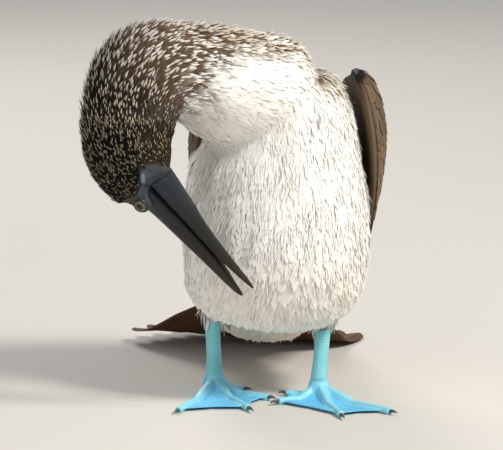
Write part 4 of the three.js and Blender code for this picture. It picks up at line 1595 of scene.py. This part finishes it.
# %% Wings
WING_ROWS = [
    [70, 22, 261, 8, 5, 1, 12], [77, 26, 248, 27, 10.5, 6, 18], [81, 38, 220, 42, 12, 13, 26],
    [77, 57, 186, 47, 11, 15, 34], [66, 82, 150, 50, 9, 14, 42], [54, 111, 114, 44, 7, 10, 48],
    [49, 147, 80, 32, 5, 5, 52], [47, 185, 51, 20, 3.4, 2, 55], [47, 219, 30, 10, 2.2, 0.5, 58],
    [48, 240, 19, 2, 1.2, 0, 60],
]
BODY_MIDDLE_X = 6
WING_RUN = 327
CORE_INSET = 2.0
CORE_RINGS = 70
CORE_SIDES = 40
WING_ENDS = (0.003, 0.997)
STEP_ALONG = 0.02
EDGE_LIMIT = 0.985
WRIST_FADE = (0.035, 0.075)
WING_BROWN = linear(0x6E5A45)
WING_EDGE = linear(0x8C7860)
WRIST_BLACK = linear(0x17120F)
PRIMARY_BROWN = linear(0x35261A)
SHAFT_BROWN = linear(0x2A211A)
COVERT_EDGE = linear(0x8C7A62)
# group: first root, last root, step between rows, length, width
COVERTS = [[0.02, 0.30, 9, 17, 11], [0.28, 0.42, 15, 30, 14], [0.40, 0.50, 17, 48, 17]]
# first and last feather of a group: place of the root, place of the tip, edge at root, edge at tip
SECONDARIES = [[0.30, 0.74, -0.98, -0.75], [0.46, 0.86, 0.2, 0.15]]
PRIMARIES = [[0.46, 0.86, 0.1, -0.3], [0.55, 1.0, 0.95, 0.5]]
# group: ends, feathers, width, rows of points, how pointed, ground colour, edge colour
LONG_FEATHERS = [
    (SECONDARIES, 11, 24, 14, 0.35, (WING_BROWN, WING_EDGE)),
    (PRIMARIES, 9, 16, 16, 0.1, (PRIMARY_BROWN, WING_BROWN)),
]


def wing_frame(side, place):
    x, y, z, half, thick, bend, heading = smooth_rows(WING_ROWS, place).T
    reach = 1.0 if side > 0 else mix(0.74, 1.55, smooth(place, 0.45, 1))
    middle = np.stack([BODY_MIDDLE_X + side * reach * (x - BODY_MIDDLE_X), y, z], axis=-1)
    turn = np.radians(heading)
    outward = np.stack([side * np.cos(turn), np.sin(turn), 0 * turn], axis=-1)
    return middle, outward, half, thick, bend


def wing_point(side, place, edge, depth, face):
    """Points on the wing: place along it, edge 1 in front to -1 behind, depth under the shell."""
    place = np.clip(place, *WING_ENDS)
    shape = np.broadcast(place, edge, depth).shape
    flat = np.broadcast_to(place, shape).ravel()
    middle, outward, half, thick, bend = wing_frame(side, flat)
    run = wing_frame(side, flat + STEP_ALONG)[0] - wing_frame(side, flat - STEP_ALONG)[0]
    across = unit(np.cross(run, outward))
    normal = unit(np.cross(across, run))
    c = np.clip(np.broadcast_to(edge, shape).ravel() * side, -EDGE_LIMIT, EDGE_LIMIT)
    sunk = np.clip(np.broadcast_to(depth, shape).ravel(), 0, None)
    rise = face * np.maximum(thick - sunk, 0.12 * thick) * np.sqrt(1 - c * c)
    points = middle + across * ((half - 0.5 * sunk) * c)[:, None]
    points = points + normal * (rise - bend * c * c)[:, None]
    return ((points + ORIGIN_SHIFT) * MM).reshape(*shape, 3)


# %% [markdown]
# A wing feather starts a little under the shell, at the depth of the core, and comes up to the
# surface towards its tip, so each one lies over the next like a tile. The wrist is black.


# %% One wing feather
def tile_depth(place):
    """How deep under the shell the feathers start at places along the wing."""
    return np.minimum(CORE_INSET, 0.6 * smooth_rows(WING_ROWS, place[:, 0])[:, 4])[:, None]


def dark_wrist(tone, place):
    return mix(WRIST_BLACK, tone, smooth(place, *WRIST_FADE)[..., None])


def wing_feather(side, face, ends, lanes, width, rows, tones, rng, pointed):
    """One feather between two places along the wing and two lanes across it."""
    u = np.linspace(0, 1, rows)[:, None]
    v = VANE_ACROSS
    place = mix(*ends, u)
    half = 0.5 * width * np.sin(math.pi * np.clip(0.1 + 0.9 * u, 0, 1) ** (1 + pointed)) ** 0.55
    half = half * smooth(u, 1.03, 0.9)
    room = np.maximum(smooth_rows(WING_ROWS, place[:, 0])[:, 3], 2)[:, None]
    lane = mix(*lanes, u) + v * half / room
    rise = tile_depth(place) * (1 - 0.8 * u - 0.14 * v)
    upper = wing_point(side, place, lane, rise - 0.2 * hump(v, 0, 0.12), face)
    lower = wing_point(side, place, lane, rise + 0.3, face)
    ground, edge = tones
    tone = vane_tone(u, v, ground * rng.uniform(0.85, 1.15), edge, SHAFT_BROWN)
    tone = dark_wrist(tone, place)
    if face * side < 0:
        return upper[:, ::-1], lower[:, ::-1], tone
    return upper, lower, tone


# %% [markdown]
# The rows are laid from the wrist to the tip. Coverts come in staggered rows across the whole
# wing. The long feathers start in a line further back, each a little beyond the last.


# %% Build the wings
def covert_rows(side, rng):
    made = []
    tones = (WING_BROWN, COVERT_EDGE)
    for first, last, step, length, width in COVERTS:
        for row, root in enumerate(np.arange(first, last, step / WING_RUN)):
            room = 2 * smooth_rows(WING_ROWS, root)[3]
            count = max(3, int(room / (width * 0.72)))
            for lane in np.linspace(1.0, -1.0, count):
                start = root + rng.uniform(-0.15, 0.15) * step / WING_RUN
                lane = lane + (row % 2 - 0.5) * width * 0.6 / room + rng.uniform(-0.03, 0.03)
                ends = (start, start + length * rng.uniform(0.9, 1.1) / WING_RUN)
                made.append(wing_feather(side, 1, ends, (lane, lane), width, 7, tones, rng, 0.9))
    return made


def long_feathers(side, face, rng):
    made = []
    for (first, last), count, width, rows, pointed, tones in LONG_FEATHERS:
        for k in range(count):
            root, tip, lane, tip_lane = mix(np.array(first), np.array(last), k / (count - 1))
            ends, lanes = (root, tip), (lane, tip_lane)
            made.append(wing_feather(side, face, ends, lanes, width, rows, tones, rng, pointed))
    return made


def build_wing(word, side):
    rng = np.random.default_rng(300 + side)
    place = np.linspace(*WING_ENDS, CORE_RINGS)[:, None]
    angle = full_turn(CORE_SIDES)
    deep = tile_depth(place) + 0 * angle
    outer, inner = (wing_point(side, place, np.cos(angle), deep, face) for face in (1, -1))
    rings = np.where((np.sin(angle) > 0)[..., None], outer, inner)
    # painted shade: the core is a fifth darker than the feathers, for the gaps between them
    tone = mix(WING_BROWN, PRIMARY_BROWN, smooth(place, 0.2, 0.6)[..., None]) * 0.8
    tone = np.broadcast_to(dark_wrist(tone, place), rings.shape)
    core = ringed_piece(f"wing_core_{word}", rings, tone)
    finish(core, FLIGHT_COAT, "brown_wing", f"wing_{word}")
    shell = covert_rows(side, rng) + long_feathers(side, 1, rng)
    closed_vanes(f"wing_feathers_{word}", shell, "brown_wing")
    closed_vanes(f"wing_lining_{word}", long_feathers(side, -1, rng), "brown_wing")


build_wing("left", 1)
build_wing("right", -1)

# %% [markdown]
# The tail is a fan of twelve stiff feathers that rests on the floor. The middle ones are the
# longest and lie on top, and each has a pale shaft.

# %% Tail
TAIL_ROOT = (6, 92, 78)
TAIL_SLOPE = math.radians(35)
TAIL_FLEX = 10
TAIL_FORESHORTENING = 0.9
TAIL_TILT = 9
TAIL_FEATHERS = 12
TAIL_HEADINGS = (40, -23)
TAIL_LENGTHS = (200, 186)
TAIL_HALF_WIDTH = 15
TAIL_STEP = 0.55
TAIL_THICKNESS = 1.5
TAIL_RINGS = 26
TAIL_VANE = [[0.0, 0.25], [0.1, 0.4], [0.3, 0.75], [0.6, 1], [0.85, 0.92], [0.94, 0.66], [1, 0.2]]
TAIL_BROWN = linear(0x634329)
TAIL_EDGE = linear(0x685440)
TAIL_SHAFT = linear(0xC9B48E)


def tail_point(heading, distance, aside, height):
    turn = math.radians(heading)
    flat_x = -math.sin(turn) * distance + math.cos(turn) * aside
    flat_y = math.cos(turn) * distance + math.sin(turn) * aside
    straight = TAIL_ROOT[2] - flat_y * math.tan(TAIL_SLOPE)
    bent = (straight + np.hypot(straight, TAIL_FLEX)) / 2
    slope = TAIL_SLOPE * smooth(straight, -26, 26)
    tilt = TAIL_TILT * smooth(-flat_x, 0, 100)
    y = TAIL_ROOT[1] + flat_y * TAIL_FORESHORTENING + np.sin(slope) * height
    z = np.maximum(bent + tilt + np.cos(slope) * height, 0.05)
    return (np.stack([TAIL_ROOT[0] + flat_x, y, z], axis=-1) + ORIGIN_SHIFT) * MM


def tail_feather(number, rng):
    share = number / (TAIL_FEATHERS - 1)
    heading = mix(*TAIL_HEADINGS, share)
    from_middle = abs(2 * share - 1)
    length = mix(*TAIL_LENGTHS, from_middle**1.5)
    u = np.linspace(0, 1, TAIL_RINGS)[:, None]
    v = VANE_ACROSS
    stations, widths = np.array(TAIL_VANE).T
    half = TAIL_HALF_WIDTH * np.interp(u, stations, widths)
    lift = TAIL_STEP * (TAIL_FEATHERS / 2 - abs(number - (TAIL_FEATHERS - 1) / 2))
    height = lift + TAIL_THICKNESS * (0.7 - 0.25 * v * v + 0.3 * hump(v, 0, 0.08))
    upper = tail_point(heading, length * u + 0 * v, half * v, height)
    lower = tail_point(heading, length * u + 0 * v, half * v, height - 0.5)
    tone = vane_tone(u, v, TAIL_BROWN * rng.uniform(0.88, 1.12), TAIL_EDGE, TAIL_SHAFT)
    return upper, lower, tone


def build_tail():
    rng = np.random.default_rng(400)
    feathers = [tail_feather(number, rng) for number in range(TAIL_FEATHERS)]
    closed_vanes("tail_feathers", feathers, "brown_tail", "tail")


build_tail()

# %% [markdown]
# The claws keep the form of their solids and are only rounded. They are dark horn.


# %% Claws
CLAW_COLOUR = linear(0x55585A)
CLAW_WELD = 0.02 * MM


def build_claws():
    material = horn_material("claw_finish", roughness=0.4, grain_scale=1500.0)
    for word in ("left", "right"):
        for number in range(1, 5):
            node = f"claw_{word}_{number}"
            piece = link(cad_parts[node].data.copy(), f"horn_{node}")
            piece.matrix_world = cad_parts[node].matrix_world
            turned_out(piece.data, CLAW_WELD)
            with_modifier(piece, "SUBSURF", levels=2, render_levels=2)
            smooth_shade(piece.data)
            store_colour(piece.data, CLAW_COLOUR)
            piece.data.materials.clear()
            finish(piece, material, "claw_horn", node)
    print("8 claws")


build_claws()

# %% [markdown]
# The skin is coloured by place. Under the coat it has the plumage's own colours, a little
# darker as painted shade beneath the feathers. The bare face is dark blue-grey with a paler
# corner of the mouth. The legs are turquoise, the webs sky blue and the toes paler. A second set
# of values counts the way along each toe and round each web, and the material draws scales and
# creases from it.

# %% Skin colours
FACE_GREY = linear(0x3A4149)
GAPE_PALE = linear(0x87939A)
PAINTED_CREASE_SHADE = linear(0x0E0D0D)
GULAR_SKIN_AND_SHADE = linear(0x2C3036)
EYE_RING = linear(0x2B3036)
LEG_BLUE = linear(0x8AD6DC)
WEB_BLUE = linear(0x6CCBFA)
TOE_BLUE = linear(0x98E4F8)
SCALE_PERIOD = 2.4
CREASE_TURNS = 30
CREASE_REACH = 0.12
TOE_HALF_WIDTHS = (5.2, 3.4)
LEG_HEIGHTS = (12, 20)
GAPE_PLACE = (-23.0, -10.5)
GAPE_WAY = (0.84, 0.54)
GAPE_HALVES = (6.5, 2.4)
MOUTH_HEIGHT = -5.2


def face_colours(points):
    forward, crown, _ = in_head_frame(points)
    # darker under the bill: dark gular skin, and partly painted shade
    tone = mix(FACE_GREY, GULAR_SKIN_AND_SHADE, smooth(crown, -16, -20)[:, None])
    beyond, over = forward - GAPE_PLACE[0], crown - GAPE_PLACE[1]
    along = beyond * GAPE_WAY[0] + over * GAPE_WAY[1]
    across = over * GAPE_WAY[0] - beyond * GAPE_WAY[1]
    gape = smooth(np.hypot(along / GAPE_HALVES[0], across / GAPE_HALVES[1]), 1.1, 0.5)
    tone = mix(tone, GAPE_PALE, 0.9 * gape[:, None])
    # painted shadow along the closed slit of the mouth
    line = smooth(np.abs(crown - MOUTH_HEIGHT), 0.9, 0.4) * smooth(forward, -19.5, -17.5)
    tone = mix(tone, PAINTED_CREASE_SHADE, line[:, None])
    for side in (1, -1):
        reach, _, height = round_eye(points, side)
        angle = np.arctan2(reach, height)
        ring = smooth(reach, BARE_EYE_RING + 2 * MM, BARE_EYE_RING - MM) * (height > EYE_FLOOR)
        # painted shade round the rim of the lids, where they meet the ball
        rim = smooth(angle, OPENING_ALONG + 0.14, OPENING_ALONG) * (reach < BARE_EYE_RING)
        tone = mix(tone, EYE_RING, ring[:, None])
        tone = mix(tone, PAINTED_CREASE_SHADE, 0.7 * rim[:, None])
    return tone


# %% [markdown]
# Scales run across the toes and legs, and fine creases spread over the webs from the ankle. For
# each point of the skin the nearest toe is found, with the way along it and round the web.


# %% Toes and webs
def foot_values(points):
    """Toe weight, way along toe or leg, angle and reach from the ankle, and leg weight."""
    local = points / MM - ORIGIN_SHIFT
    along, turn, reach = np.zeros((3, len(points)))
    nearest = np.full(len(points), np.inf)
    for leg in LEGS.values():
        ankle = np.array(leg["ankle"])
        away = local[:, :2] - ankle
        for tip in leg["tips"]:
            way = np.array(tip) - ankle
            length = np.linalg.norm(way)
            t = np.clip(away @ way / length**2, 0, 1)
            gap = np.linalg.norm(away - t[:, None] * way, axis=1)
            closer = gap < nearest
            nearest[closer] = gap[closer]
            along[closer] = t[closer] * length
            turn[closer] = np.arctan2(away[closer, 1], away[closer, 0])
            reach[closer] = np.linalg.norm(away[closer], axis=1)
    toe = smooth(nearest, *TOE_HALF_WIDTHS)
    upright = smooth(local[:, 2], *LEG_HEIGHTS)
    return toe, mix(along, local[:, 2], upright), turn, reach, upright


# %% [markdown]
# The skin's material draws the scales and the creases from those counts, both in the colour and
# as a fine relief. The large forms, such as toes and webs, are real shape and not relief.


# %% Paint the skin
def paint_skin():
    points, normals, fields = CORNERS, NORMALS, FIELDS
    ground, _ = plumage(points, normals, fields["share"], fields["side"], fields["neckness"])
    # painted shade: under the coat the skin is a little darker than the plumage above it
    tone = mix(ground * 0.85, face_colours(points), BARE_FACE[:, None])
    toe, along, turn, reach, upright = foot_values(points)
    blue = mix(WEB_BLUE, TOE_BLUE, toe[:, None])
    blue = mix(blue, LEG_BLUE, upright[:, None])
    store_colour(body.data, mix(tone, blue, BARE_LEG[:, None]))
    grain = (along / SCALE_PERIOD * math.pi, turn * CREASE_TURNS, reach * CREASE_REACH)
    weight = (np.maximum(toe, upright) * BARE_LEG, (1 - toe) * (1 - upright), 0 * toe)
    store_colour(body.data, np.stack(grain, axis=1), "grain")
    store_colour(body.data, np.stack(weight, axis=1), "scaled")
    body.data.materials.clear()
    finish(body, skin_material(), "blue_foot_skin", *BODY_NODES, *FOOT_NODES)
    print("skin painted,", int((BARE_LEG > 0.5).sum()), "corners in blue")


def skin_material():
    recipe = Recipe("skin_finish", roughness=0.5, coat=0.1)

    def parts(name):
        vector = recipe.attribute(name, "Vector")
        return recipe.node("ShaderNodeSeparateXYZ", Vector=vector).outputs

    maths = recipe.maths
    count, weight = parts("grain"), parts("scaled")
    scale = maths("POWER", maths("ABSOLUTE", maths("SINE", count["X"])), 0.35)
    scale = maths("SUBTRACT", 1.0, maths("MULTIPLY", maths("SUBTRACT", 1.0, scale), weight["X"]))
    spoke = recipe.node("ShaderNodeCombineXYZ", X=count["Y"], Y=count["Z"])
    crease = recipe.node("ShaderNodeTexNoise", Vector=spoke.outputs["Vector"], Scale=1.0, Detail=4.0)
    crease = maths("MULTIPLY", maths("SUBTRACT", crease.outputs["Fac"], 0.5), weight["Y"])
    pores = recipe.mottle(scale=1100.0, detail=3.0)
    height = maths("ADD", maths("ADD", scale, maths("MULTIPLY", crease, 1.6)), pores)
    clouded = recipe.shaded(recipe.tint(), recipe.mottle(scale=90.0), low=0.82, high=1.16)
    scaly = recipe.shaded(clouded, scale, low=0.8, high=1.0)
    recipe.colour(recipe.shaded(scaly, maths("ADD", crease, 0.5), low=0.75, high=1.2))
    recipe.bump(height, strength=0.5, distance=0.0003)
    return recipe.material


paint_skin()
